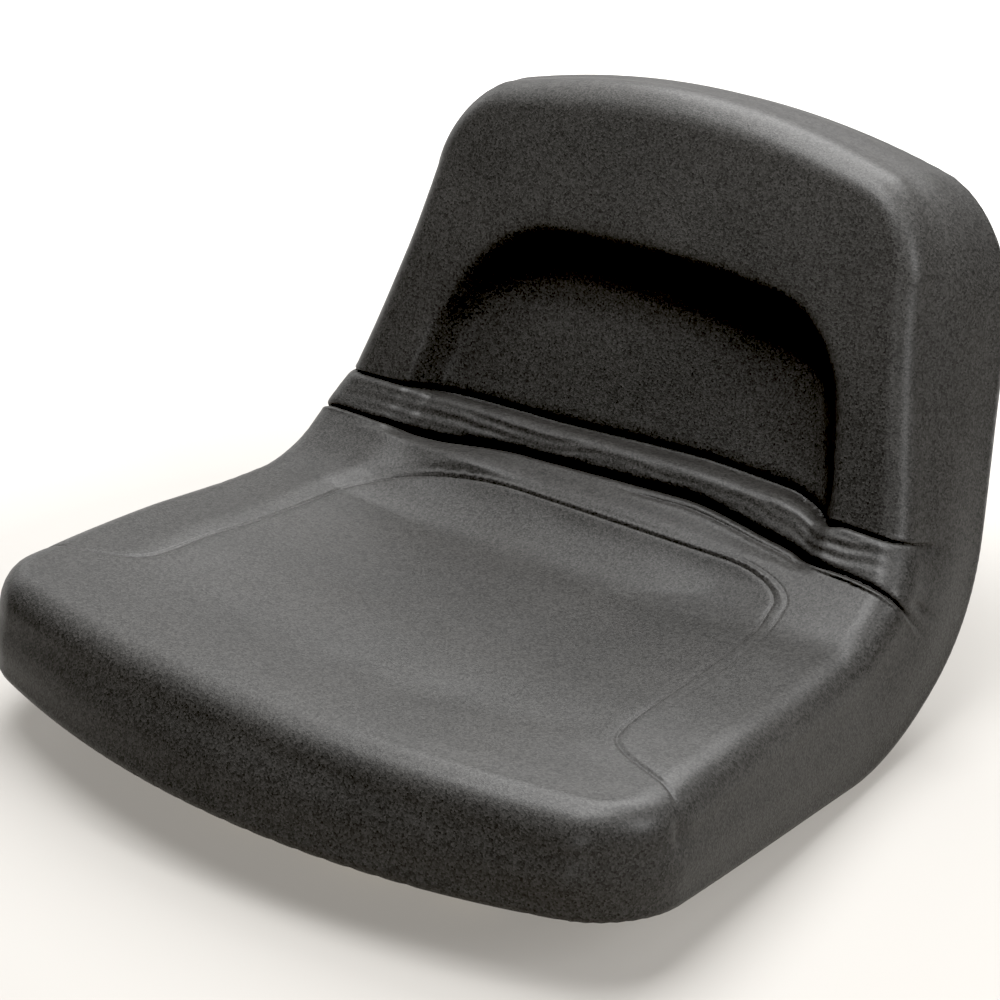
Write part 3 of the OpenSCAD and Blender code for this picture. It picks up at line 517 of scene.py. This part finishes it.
def section(u, d, top, inset, cut):
    """Inset from the rim and height along the wall's section.

    u runs over the edge roll from 0 to 1, the wall from 1 to 2, the tuck from 2 to 3 and the hem from 3 to 4.
    The wall is the common tangent of the two rolls. inset is the depth of the layer and cut that of a crease."""
    vx, vy = d - TUCK_ROLL, top - EDGE_ROLL - TUCK_ROLL
    psi = np.arctan2(vy, vx) + np.arccos((TUCK_ROLL - EDGE_ROLL) / np.hypot(vx, vy))
    nx, ny = np.cos(psi), np.sin(psi)
    e = inset + cut
    g = math.pi / 2 + (psi - math.pi / 2) * np.clip(u, 0, 1)
    roll = d + (EDGE_ROLL - e) * np.cos(g), top - EDGE_ROLL + (EDGE_ROLL - e) * np.sin(g)
    w = np.clip(u - 1, 0, 1)
    swell = WALL_SWELL * np.sin(math.pi * w) ** 2 - e
    wall = (
        (d + EDGE_ROLL * nx) * (1 - w) + (TUCK_ROLL + TUCK_ROLL * nx) * w + nx * swell,
        (top - EDGE_ROLL + EDGE_ROLL * ny) * (1 - w) + (TUCK_ROLL + TUCK_ROLL * ny) * w + ny * swell,
    )
    g = psi + (1.5 * math.pi - psi) * np.clip(u - 2, 0, 1)
    tuck = TUCK_ROLL + (TUCK_ROLL - e) * np.cos(g), TUCK_ROLL + (TUCK_ROLL - e) * np.sin(g)
    hem = TUCK_ROLL + (HEM_WIDTH - TUCK_ROLL) * np.clip(u - 3, 0, 1), inset + 0 * u
    pick = np.minimum(np.floor(u - 1e-9).astype(int), 3)
    pick = np.maximum(pick, 0)
    x = np.choose(pick, [roll[0], wall[0], tuck[0], hem[0]])
    y = np.choose(pick, [roll[1], wall[1], tuck[1], hem[1]])
    return x, y


ROLL_LENGTH = EDGE_ROLL * math.pi / 2
WALL_LENGTH = 42.0


def unrolled(s, u):
    """Plan point that a point of the wall would have if the wall lay flat round the crest line."""
    p, inward, d, top, q = wall_frame(s)
    far = ROLL_LENGTH * np.clip(u, 0, 1) + WALL_LENGTH * np.clip(u - 1, 0, 1)
    return q - inward * far[:, None], far


class Sheet:
    """A triangle mesh over the plan and round the wall, refined where the form is fine.

    A point inside the crest line has its plan place. A point on the crest line or the wall also has its
    station s and its place u along the wall's section, with u = 0 on the crest line."""

    STEP = 12
    RINGS = [0.25, 0.5, 0.75, 1, 1.25, 1.5, 1.75, 2, 2.5, 3, 3.5, 4]

    def __init__(self, last=4.0):
        side, front, top = CREST_SIDE[::self.STEP], CREST_FRONT[::self.STEP], CREST_TOP[::self.STEP]
        n, m = len(side) - 1, len(front) - 1
        v = ((side[:, 1] - side[0, 1]) / (side[n, 1] - side[0, 1]))[:, None]
        x = ((1 - v) * front[None, :, 0] / front[m, 0] + v * top[None, :, 0] / top[m, 0]) * side[:, :1]
        y = (side[:, 1:] + (front[None, :, 1] - front[m, 1]) * (1 - v) ** 6
             + (top[None, :, 1] - top[m, 1]) * v ** 6)
        station = np.full((n + 1, m + 1), -1.0)
        count = 2 * (n + m)
        order = ([(0, j) for j in range(m)] + [(i, m) for i in range(n)]
                 + [(n, j) for j in range(m, 0, -1)] + [(i, 0) for i in range(n, 0, -1)])
        for k, (i, j) in enumerate(order):
            station[i, j] = k * self.STEP
        index = np.arange((n + 1) * (m + 1)).reshape(n + 1, m + 1)
        tris = []
        for i in range(n):
            for j in range(m):
                p, q, r, t = index[i, j], index[i, j + 1], index[i + 1, j + 1], index[i + 1, j]
                if (i in (0, n - 1)) and (j in (0, m - 1)) and (i == 0) == (j == 0):
                    tris += [(p, q, r), (p, r, t)]
                else:
                    tris += [(p, q, t), (q, r, t)]
        ring = [index[i, j] for i, j in order]
        flat = np.stack([x.ravel(), y.ravel()], -1)
        s_all, u_all = [station.ravel()], [np.where(station.ravel() >= 0, 0.0, -1.0)]
        stations = np.arange(count) * float(self.STEP)
        total = len(flat)
        for u in [u for u in self.RINGS if u <= last]:
            new = list(range(total, total + count))
            total += count
            s_all.append(stations)
            u_all.append(np.full(count, float(u)))
            for k in range(count):
                e = (k + 1) % count
                tris += [(ring[k], new[k], ring[e]), (ring[e], new[k], new[e])]
            ring = new
        self.s = np.concatenate(s_all)
        self.u = np.concatenate(u_all)
        self.tris = np.array(tris)
        self.ab = np.zeros((total, 2))
        self.ab[:len(flat)] = flat
        on_wall = self.u >= 0
        self.ab[on_wall] = unrolled(self.s[on_wall], self.u[on_wall])[0]

    def base(self):
        """Points of the plain form without creases, for measuring edges."""
        return self.points(0, plain=True)

    def points(self, inset, plain=False):
        out = np.zeros((len(self.s), 3))
        inner = self.u < 0
        a, b = self.ab[inner].T
        cut = 0 * a if plain else dip(a, b)
        out[inner] = place(a, b, crest(b) - cut - inset)
        wall = ~inner
        s, u = self.s[wall], self.u[wall]
        out[wall] = wall_points(s, u, inset, plain)
        return out

    def under(self, height, end):
        """The same points laid on a surface under the cushion, out to the inset end at the last ring."""
        a, b = self.ab.T.copy()
        wall = self.u >= 0
        p, inward, d, _, _ = wall_frame(self.s[wall])
        share = self.u[wall] / self.u.max()
        at = p + inward * (d * (1 - share) + end * share)[:, None]
        a[wall], b[wall] = at.T
        return place(a, b, height(a, b))

    def refine(self, target, passes):
        for _ in range(passes):
            if not self.split(target):
                break

    def split(self, target):
        """One pass of longest-edge bisection. Returns False when every edge is short enough."""
        tri = self.tris
        pairs = np.sort(np.concatenate([tri[:, [0, 1]], tri[:, [1, 2]], tri[:, [2, 0]]]), axis=1)
        edges, which = np.unique(pairs, axis=0, return_inverse=True)
        which = which.reshape(3, -1).T
        p = self.base()
        length = np.linalg.norm(p[edges[:, 0]] - p[edges[:, 1]], axis=1)
        middle = (self.ab[edges[:, 0]] + self.ab[edges[:, 1]]) / 2
        mark = length > target(middle[:, 0], middle[:, 1])
        hem = (self.u[edges] >= 3).all(axis=1)
        mark &= ~hem
        if not mark.any():
            return False
        rank = np.argmax(np.where(hem[which], 0, length[which]), axis=1)
        longest = which[np.arange(len(tri)), rank]
        while True:
            need = mark[which].any(axis=1) & ~mark[longest]
            if not need.any():
                break
            mark[longest[need]] = True
        new_id = np.full(len(edges), -1)
        new_id[mark] = len(self.s) + np.arange(mark.sum())
        self.add_middles(edges[mark])
        # Each triangle is turned so that its longest edge joins its first two corners
        turn = (rank[:, None] + np.arange(3)) % 3
        rows = np.arange(len(tri))[:, None]
        c, e = tri[rows, turn], new_id[which[rows, turn]]
        out = []
        whole = e[:, 0] < 0
        out.append(c[whole])
        for second in (False, True):
            for third in (False, True):
                pick = ~whole & ((e[:, 1] >= 0) == second) & ((e[:, 2] >= 0) == third)
                x, m = c[pick], e[pick]
                if second:
                    out += [np.stack([m[:, 0], x[:, 1], m[:, 1]], -1), np.stack([m[:, 0], m[:, 1], x[:, 2]], -1)]
                else:
                    out.append(np.stack([m[:, 0], x[:, 1], x[:, 2]], -1))
                if third:
                    out += [np.stack([m[:, 0], x[:, 2], m[:, 2]], -1), np.stack([m[:, 0], m[:, 2], x[:, 0]], -1)]
                else:
                    out.append(np.stack([m[:, 0], x[:, 2], x[:, 0]], -1))
        self.tris = np.concatenate(out)
        return True

    def add_middles(self, edges):
        i, j = edges.T
        wall = (self.u[i] >= 0) & (self.u[j] >= 0)
        s0, s1 = self.s[i].copy(), self.s[j].copy()
        s0 = np.where(s1 - s0 > LOOP_N / 2, s0 + LOOP_N, s0)
        s1 = np.where(s0 - s1 > LOOP_N / 2, s1 + LOOP_N, s1)
        s = np.where(wall, ((s0 + s1) / 2) % LOOP_N, -1.0)
        u = np.where(wall, (self.u[i] + self.u[j]) / 2, -1.0)
        ab = (self.ab[i] + self.ab[j]) / 2
        ab[wall] = unrolled(s[wall], u[wall])[0]
        self.s = np.concatenate([self.s, s])
        self.u = np.concatenate([self.u, u])
        self.ab = np.concatenate([self.ab, ab])

    def normals(self, inset):
        """Normals of the form at every point, from small steps along it."""
        step = 0.4
        out = np.zeros((len(self.s), 3))
        inner = self.u < 0
        a, b = self.ab[inner].T

        def inside(a, b):
            return place(a, b, crest(b) - dip(a, b) - inset)

        across = inside(a + step, b) - inside(a - step, b)
        along = inside(a, b + step) - inside(a, b - step)
        out[inner] = np.cross(across, along)
        wall = ~inner
        s, u = self.s[wall], self.u[wall]
        ds, du = 0.5, 0.01
        across = wall_points((s + ds) % LOOP_N, u, inset) - wall_points((s - ds) % LOOP_N, u, inset)
        down = wall_points(s, np.minimum(u + du, 4), inset) - wall_points(s, np.maximum(u - du, 0), inset)
        out[wall] = np.cross(down, across)
        return out / np.linalg.norm(out, axis=1)[:, None]


def wall_points(s, u, inset, plain=False):
    p, inward, d, top, q = wall_frame(s)
    flat, far = unrolled(s, u)
    cut = 0 * u
    if not plain:
        fade = 1 - ramp(far, 16, 58)
        cut = dip(flat[:, 0], flat[:, 1]) * fade * (u < 3)
        cut += wall_dimples(flat[:, 0], flat[:, 1]) * (u < 3)
    x, h = section(u, d, top, inset, cut)
    at = p + inward * x[:, None]
    return place(at[:, 0], at[:, 1], h)


def wall_dimples(a, b):
    """Small hollows where the folds and the groove run out on the side walls."""
    x = np.abs(a)
    ends = bump(x, 252, 7) * bump(b, LOW_FOLD - 2, 5) + bump(x, 246, 7) * bump(b, HIGH_FOLD - 4, 6)
    return 1.8 * ends + 2.0 * bump(x, 250, 9) * bump(b, 38, 7)


def cover_target(a, b):
    """Wanted edge length on the cover."""
    groove = np.abs(seat_panel(a, b))
    second = np.where((a > 110) & (b > 125), np.abs(outer_line(a, b)), 99)
    low, high = np.abs(b - low_fold_b(a)), np.abs(b - high_fold_b(a))
    fold = np.minimum(low, high)
    recess = recess_panel(a, b)
    wanted = np.full(a.shape, 8.0)
    wanted = np.where((recess > -14) & (recess < 46), 4.5, wanted)
    wanted = np.where((np.abs(recess) < 7) & (b > HIGH_FOLD), 2.4, wanted)
    wanted = np.where((b > LOW_FOLD - 30) & (b < HIGH_FOLD + 20), 2.8, wanted)
    wanted = np.where((groove < 9) & (b > 30), 2.4, wanted)
    wanted = np.where(((groove < 3.4) & (b > 30)) | (second < 3), 1.2, wanted)
    wanted = np.where(fold < 14, 2.0, wanted)
    wanted = np.where(fold < 6, 1.25, wanted)
    line = np.abs(b - low_fold_b(a) - np.where(a < 180, thin_line(a), -11))
    wanted = np.where((line < 4) & (a > 10) & (a < 225), 1.1, wanted)
    return np.where(np.abs(a) > 262, np.maximum(wanted, 5), wanted)


def add_mesh(name, points, faces, normals=None):
    mesh = bpy.data.meshes.new(name)
    mesh.vertices.add(len(points))
    mesh.vertices.foreach_set("co", (points * MM).ravel())
    mesh.loops.add(faces.size)
    mesh.loops.foreach_set("vertex_index", faces.ravel())
    mesh.polygons.add(len(faces))
    mesh.polygons.foreach_set("loop_start", np.arange(len(faces)) * 3)
    mesh.polygons.foreach_set("use_smooth", np.ones(len(faces), bool))
    mesh.update(calc_edges=True)
    mesh.validate()
    if normals is not None:
        mesh.normals_split_custom_set_from_vertices(normals)
    piece = bpy.data.objects.new(name, mesh)
    bpy.context.scene.collection.objects.link(piece)
    return piece


def make_cover(material):
    sheet = Sheet()
    sheet.refine(lambda a, b: 2.4 * cover_target(a, b), 12)
    inner_points, inner_normals = sheet.points(COVER_T), -sheet.normals(COVER_T)
    inner_tris = sheet.tris[:, [0, 2, 1]]
    inner_edge = hem_edge(sheet)
    sheet.refine(cover_target, 14)
    points, normals = sheet.points(0), sheet.normals(0)
    outer_edge = hem_edge(sheet)
    start = len(points)
    n = len(outer_edge)
    rim = []
    for k in range(n):
        e = (k + 1) % n
        o0, o1 = outer_edge[k], outer_edge[e]
        i0, i1 = start + inner_edge[k], start + inner_edge[e]
        rim += [(o0, i0, o1), (o1, i0, i1)]
    faces = np.concatenate([sheet.tris, inner_tris + start, np.array(rim)])
    print("cover triangles", len(sheet.tris), len(inner_tris))
    piece = add_mesh("moulded_cover", np.concatenate([points, inner_points]), faces,
                     np.concatenate([normals, inner_normals]))
    piece.data.materials.append(material)
    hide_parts("vinyl_cover")
    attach(piece, BODY)
    return piece


# Pan and foam
def plan_inset(a, b):
    """Distance inside the rim's outline."""
    x = np.abs(a)
    r = np.where(b > PLAN_LENGTH / 2, TOP_CORNER, FRONT_CORNER)
    y = np.maximum(r - b, b - (PLAN_LENGTH - r))
    x = x - (HALF - r)
    return r - np.where((x > 0) & (y > 0), np.hypot(x, y), np.maximum(x, y))


def soft_step(x, x0, x1):
    """A straight step with rounded ends."""
    t = slope(x, x0, x1)
    return 0.5 * t + 0.5 * t * t * (3 - 2 * t)


def mount_height(a, b):
    """Height at which a point of the plan lies on the mounting face."""
    t = a / HALF
    _, z, g = bent(b + bow(b) * t * t)
    return -(z + LIFT_Z) / np.cos(g) - lift(b) * np.abs(t) ** RISE_POWER


def pan_height(a, b):
    """Height of the pan's lower face."""
    x = np.abs(a)
    bead = ramp(-np.minimum(x, np.abs(x - BEAD_PITCH)), -BEAD_HALF, -BEAD_HALF * 0.3)
    bead *= ramp(b, BEAD_START, BEAD_START + 14) * (1 - ramp(b, BEAD_END - 14, BEAD_END))
    mount = np.minimum(
        1 - soft_step(x, MOUNT_HALF_WIDTH, MOUNT_HALF_WIDTH + MOUNT_SLOPE),
        np.minimum(soft_step(b, MOUNT_FRONT - MOUNT_SLOPE, MOUNT_FRONT),
                   1 - soft_step(b, MOUNT_REAR, MOUNT_REAR + MOUNT_REAR_SLOPE)))
    ledge = PAN_INSET + LEDGE_WIDTH
    step = LEDGE_STEP * ramp(plan_inset(a, b), ledge, ledge + STEP_RUN)
    plain = PAN_LOW + step - BEAD_DEPTH * bead
    mount_at = mount_height(a, np.clip(b, MOUNT_FRONT - MOUNT_SLOPE, MOUNT_REAR + MOUNT_REAR_SLOPE))
    return plain + (mount_at - plain) * mount


def nut_places():
    """Centres of the weld nuts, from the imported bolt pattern."""
    low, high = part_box("mounting_nuts")
    record = next(m for m in frame["record"]["mounts"] if m["name"] == "mount_bolts")
    half_x = record["dims"]["spacing_x_mm"] / 2
    half_y = record["dims"]["spacing_y_mm"] / 2
    return [(x, y, high.z / MM, (high.x / MM - half_x)) for x in (-half_x, half_x) for y in (-half_y, half_y)]


def foam_floor(a, b):
    """Underside of the foam: the pan's upper face with pockets round the nuts."""
    height = pan_height(a, b) + PAN_T + LAYER_GAP
    at = place(a, b, height)
    for x, y, top, reach in nut_places():
        away = np.hypot(at[:, 0] - x, at[:, 1] - y)
        height = height + (top + 2 - PAN_T) * (1 - ramp(away, reach + 1, reach + 5))
    return height


def foam_target(a, b):
    away = np.minimum(np.abs(np.abs(a) - 105), 30) + np.minimum(np.abs(np.abs(b - 177) - 77), 30)
    fold = np.minimum(np.abs(b - low_fold_b(a)), np.abs(b - high_fold_b(a)))
    wanted = np.where(away < 36, 4.5, np.minimum(11, 2.6 * cover_target(a, b)))
    return np.where((fold < 9) & (np.abs(a) < 262), 1.6, wanted)


def make_foam(material):
    sheet = Sheet(last=2.5)
    sheet.refine(foam_target, 12)
    top = sheet.points(COVER_T + LAYER_GAP)
    below = sheet.under(foam_floor, 4.0)
    start = len(top)
    last = sheet.u >= 2.5
    number = np.where(last, np.arange(start), start + np.cumsum(~last) - 1)
    faces = np.concatenate([sheet.tris, number[sheet.tris[:, [0, 2, 1]]]])
    piece = add_mesh("foam_core", np.concatenate([top, below[~last]]), faces)
    print("foam triangles", len(faces))
    piece.data.materials.append(material)
    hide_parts("foam_cushion")
    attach(piece, BODY)
    return piece


def hem_edge(sheet):
    """The points of the hem's free edge, in order."""
    edge = np.nonzero(sheet.u >= 4)[0]
    return edge[np.argsort(sheet.s[edge])]


# Materials
def material(name):
    made = bpy.data.materials.new(name)
    made.use_nodes = True
    return made, made.node_tree.nodes, made.node_tree.links


def make_vinyl():
    made, nodes, links = material("vinyl")
    shader = nodes["Principled BSDF"]
    shader.inputs["Specular IOR Level"].default_value = VINYL_SPECULAR
    shader.inputs["Coat Weight"].default_value = VINYL_COAT
    shader.inputs["Coat Roughness"].default_value = VINYL_COAT_ROUGH
    where = nodes.new("ShaderNodeTexCoord")
    grain = nodes.new("ShaderNodeTexVoronoi")
    grain.inputs["Scale"].default_value = 900
    fine = nodes.new("ShaderNodeTexNoise")
    fine.inputs["Scale"].default_value = 1500
    fine.inputs["Detail"].default_value = 2
    broad = nodes.new("ShaderNodeTexNoise")
    broad.inputs["Scale"].default_value = 14
    broad.inputs["Detail"].default_value = 4
    for node in (grain, fine, broad):
        links.new(where.outputs["Object"], node.inputs["Vector"])
    height = nodes.new("ShaderNodeMath")
    height.operation = "ADD"
    links.new(grain.outputs["Distance"], height.inputs[0])
    links.new(fine.outputs["Fac"], height.inputs[1])
    bump_node = nodes.new("ShaderNodeBump")
    bump_node.inputs["Strength"].default_value = 0.55
    bump_node.inputs["Distance"].default_value = 0.00022
    links.new(height.outputs["Value"], bump_node.inputs["Height"])
    links.new(bump_node.outputs["Normal"], shader.inputs["Normal"])
    colour = nodes.new("ShaderNodeValToRGB")
    colour.color_ramp.elements[0].position = 0.3
    colour.color_ramp.elements[0].color = VINYL_DARK
    colour.color_ramp.elements[1].position = 0.75
    colour.color_ramp.elements[1].color = VINYL_LIGHT
    links.new(broad.outputs["Fac"], colour.inputs["Fac"])
    cell = nodes.new("ShaderNodeMapRange")
    cell.inputs["To Min"].default_value = 1 - SPECKLE
    cell.inputs["To Max"].default_value = 1 + SPECKLE
    links.new(grain.outputs["Color"], cell.inputs["Value"])
    speckled = nodes.new("ShaderNodeVectorMath")
    speckled.operation = "SCALE"
    links.new(colour.outputs["Color"], speckled.inputs[0])
    links.new(cell.outputs["Result"], speckled.inputs["Scale"])
    links.new(speckled.outputs["Vector"], shader.inputs["Base Color"])
    rough = nodes.new("ShaderNodeMapRange")
    rough.inputs["From Min"].default_value = 0.3
    rough.inputs["From Max"].default_value = 0.7
    rough.inputs["To Min"].default_value = VINYL_ROUGH_LOW
    rough.inputs["To Max"].default_value = VINYL_ROUGH_HIGH
    links.new(broad.outputs["Fac"], rough.inputs["Value"])
    links.new(rough.outputs["Result"], shader.inputs["Roughness"])
    return made


def make_foam_material():
    made, nodes, links = material("foam")
    shader = nodes["Principled BSDF"]
    shader.inputs["Roughness"].default_value = 0.95
    shader.inputs["Specular IOR Level"].default_value = 0.2
    where = nodes.new("ShaderNodeTexCoord")
    cells = nodes.new("ShaderNodeTexVoronoi")
    cells.inputs["Scale"].default_value = 700
    links.new(where.outputs["Object"], cells.inputs["Vector"])
    bump_node = nodes.new("ShaderNodeBump")
    bump_node.inputs["Strength"].default_value = 0.8
    bump_node.inputs["Distance"].default_value = 0.0006
    links.new(cells.outputs["Distance"], bump_node.inputs["Height"])
    links.new(bump_node.outputs["Normal"], shader.inputs["Normal"])
    colour = nodes.new("ShaderNodeValToRGB")
    colour.color_ramp.elements[0].color = (0.42, 0.34, 0.18, 1)
    colour.color_ramp.elements[1].color = (0.66, 0.57, 0.36, 1)
    links.new(cells.outputs["Distance"], colour.inputs["Fac"])
    links.new(colour.outputs["Color"], shader.inputs["Base Color"])
    return made


def make_steel(name, colour_low, colour_high, metallic, rough_low, rough_high):
    made, nodes, links = material(name)
    shader = nodes["Principled BSDF"]
    shader.inputs["Metallic"].default_value = metallic
    where = nodes.new("ShaderNodeTexCoord")
    peel = nodes.new("ShaderNodeTexNoise")
    peel.inputs["Scale"].default_value = 420
    broad = nodes.new("ShaderNodeTexNoise")
    broad.inputs["Scale"].default_value = 22
    broad.inputs["Detail"].default_value = 5
    for node in (peel, broad):
        links.new(where.outputs["Object"], node.inputs["Vector"])
    bump_node = nodes.new("ShaderNodeBump")
    bump_node.inputs["Strength"].default_value = 0.3
    bump_node.inputs["Distance"].default_value = 0.0001
    links.new(peel.outputs["Fac"], bump_node.inputs["Height"])
    links.new(bump_node.outputs["Normal"], shader.inputs["Normal"])
    colour = nodes.new("ShaderNodeValToRGB")
    colour.color_ramp.elements[0].position = 0.35
    colour.color_ramp.elements[0].color = (*colour_low, 1)
    colour.color_ramp.elements[1].position = 0.7
    colour.color_ramp.elements[1].color = (*colour_high, 1)
    links.new(broad.outputs["Fac"], colour.inputs["Fac"])
    links.new(colour.outputs["Color"], shader.inputs["Base Color"])
    rough = nodes.new("ShaderNodeMapRange")
    rough.inputs["To Min"].default_value = rough_low
    rough.inputs["To Max"].default_value = rough_high
    links.new(broad.outputs["Fac"], rough.inputs["Value"])
    links.new(rough.outputs["Result"], shader.inputs["Roughness"])
    return made


def dress(node, made):
    """Gives a CAD node its material."""
    mesh = frame["nodes"][node].data
    mesh.materials.clear()
    mesh.materials.append(made)


# Stage
def aim(thing, target):
    thing.rotation_mode = "QUATERNION"
    thing.rotation_quaternion = (target - thing.location).to_track_quat("-Z", "Y")


def make_camera():
    data = bpy.data.cameras.new("camera")
    data.sensor_width = CAMERA_SENSOR
    data.lens = CAMERA_LENS
    data.clip_start = 0.05
    data.clip_end = 30
    camera = bpy.data.objects.new("camera", data)
    a, e = math.radians(CAMERA_AZIMUTH), math.radians(CAMERA_ELEVATION)
    back = Vector((math.sin(a) * math.cos(e), -math.cos(a) * math.cos(e), math.sin(e)))
    camera.location = CAMERA_TARGET + back * CAMERA_DISTANCE
    aim(camera, CAMERA_TARGET)
    bpy.context.scene.collection.objects.link(camera)
    bpy.context.scene.camera = camera


def make_light(name, at, target, size, power, colour=(1, 1, 1)):
    data = bpy.data.lights.new(name, "AREA")
    data.shape = "RECTANGLE"
    data.size, data.size_y = size
    data.energy = power
    data.color = colour
    lamp = bpy.data.objects.new(name, data)
    lamp.location = at
    aim(lamp, Vector(target))
    bpy.context.scene.collection.objects.link(lamp)


def make_stage():
    half = 12.0
    mesh = bpy.data.meshes.new("floor")
    mesh.from_pydata([(-half, -half, 0), (half, -half, 0), (half, half, 0), (-half, half, 0)], [], [(0, 1, 2, 3)])
    floor = bpy.data.objects.new("floor", mesh)
    bpy.context.scene.collection.objects.link(floor)
    made, nodes, links = material("floor")
    shader = nodes["Principled BSDF"]
    shader.inputs["Roughness"].default_value = 0.9
    shader.inputs["Specular IOR Level"].default_value = 0.1
    shader.inputs["Emission Color"].default_value = FLOOR_GLOW
    shader.inputs["Emission Strength"].default_value = FLOOR_GLOW_STRENGTH
    where = nodes.new("ShaderNodeTexCoord")
    apart = nodes.new("ShaderNodeVectorMath")
    apart.operation = "LENGTH"
    links.new(where.outputs["Object"], apart.inputs[0])
    # Painted light: the floor's colour ramps from dark near the seat to pale far away, making up for the lamps'
    # falloff.
    floor_painted_light_ramp = nodes.new("ShaderNodeMapRange")
    floor_painted_light_ramp.inputs["From Min"].default_value = FLOOR_NEAR
    floor_painted_light_ramp.inputs["From Max"].default_value = FLOOR_FAR
    links.new(apart.outputs["Value"], floor_painted_light_ramp.inputs["Value"])
    colour = nodes.new("ShaderNodeValToRGB")
    colour.color_ramp.elements[0].color = FLOOR_PAINTED_LIGHT_NEAR
    colour.color_ramp.elements[1].color = FLOOR_PAINTED_LIGHT_FAR
    links.new(floor_painted_light_ramp.outputs["Result"], colour.inputs["Fac"])
    links.new(colour.outputs["Color"], shader.inputs["Base Color"])
    mesh.materials.append(made)
    world = bpy.data.worlds.new("world")
    world.use_nodes = True
    world.node_tree.nodes["Background"].inputs["Color"].default_value = (0.95, 0.97, 1.0, 1)
    world.node_tree.nodes["Background"].inputs["Strength"].default_value = WORLD_STRENGTH
    bpy.context.scene.world = world
    view = bpy.context.scene.view_settings
    view.view_transform = "Standard"
    view.use_curve_mapping = True
    view.curve_mapping.black_level = (BLACK_LEVEL,) * 3
    for light in LIGHTS:
        make_light(*light)


make_camera()
make_stage()
make_cover(make_vinyl())
make_foam(make_foam_material())
dress("seat_pan", make_steel("pan_steel", (0.012, 0.012, 0.013), (0.02, 0.02, 0.021), 0.0, 0.32, 0.45))
dress("mounting_nuts", make_steel("nut_steel", (0.42, 0.42, 0.41), (0.55, 0.55, 0.53), 1.0, 0.3, 0.42))

bpy.context.view_layer.update()
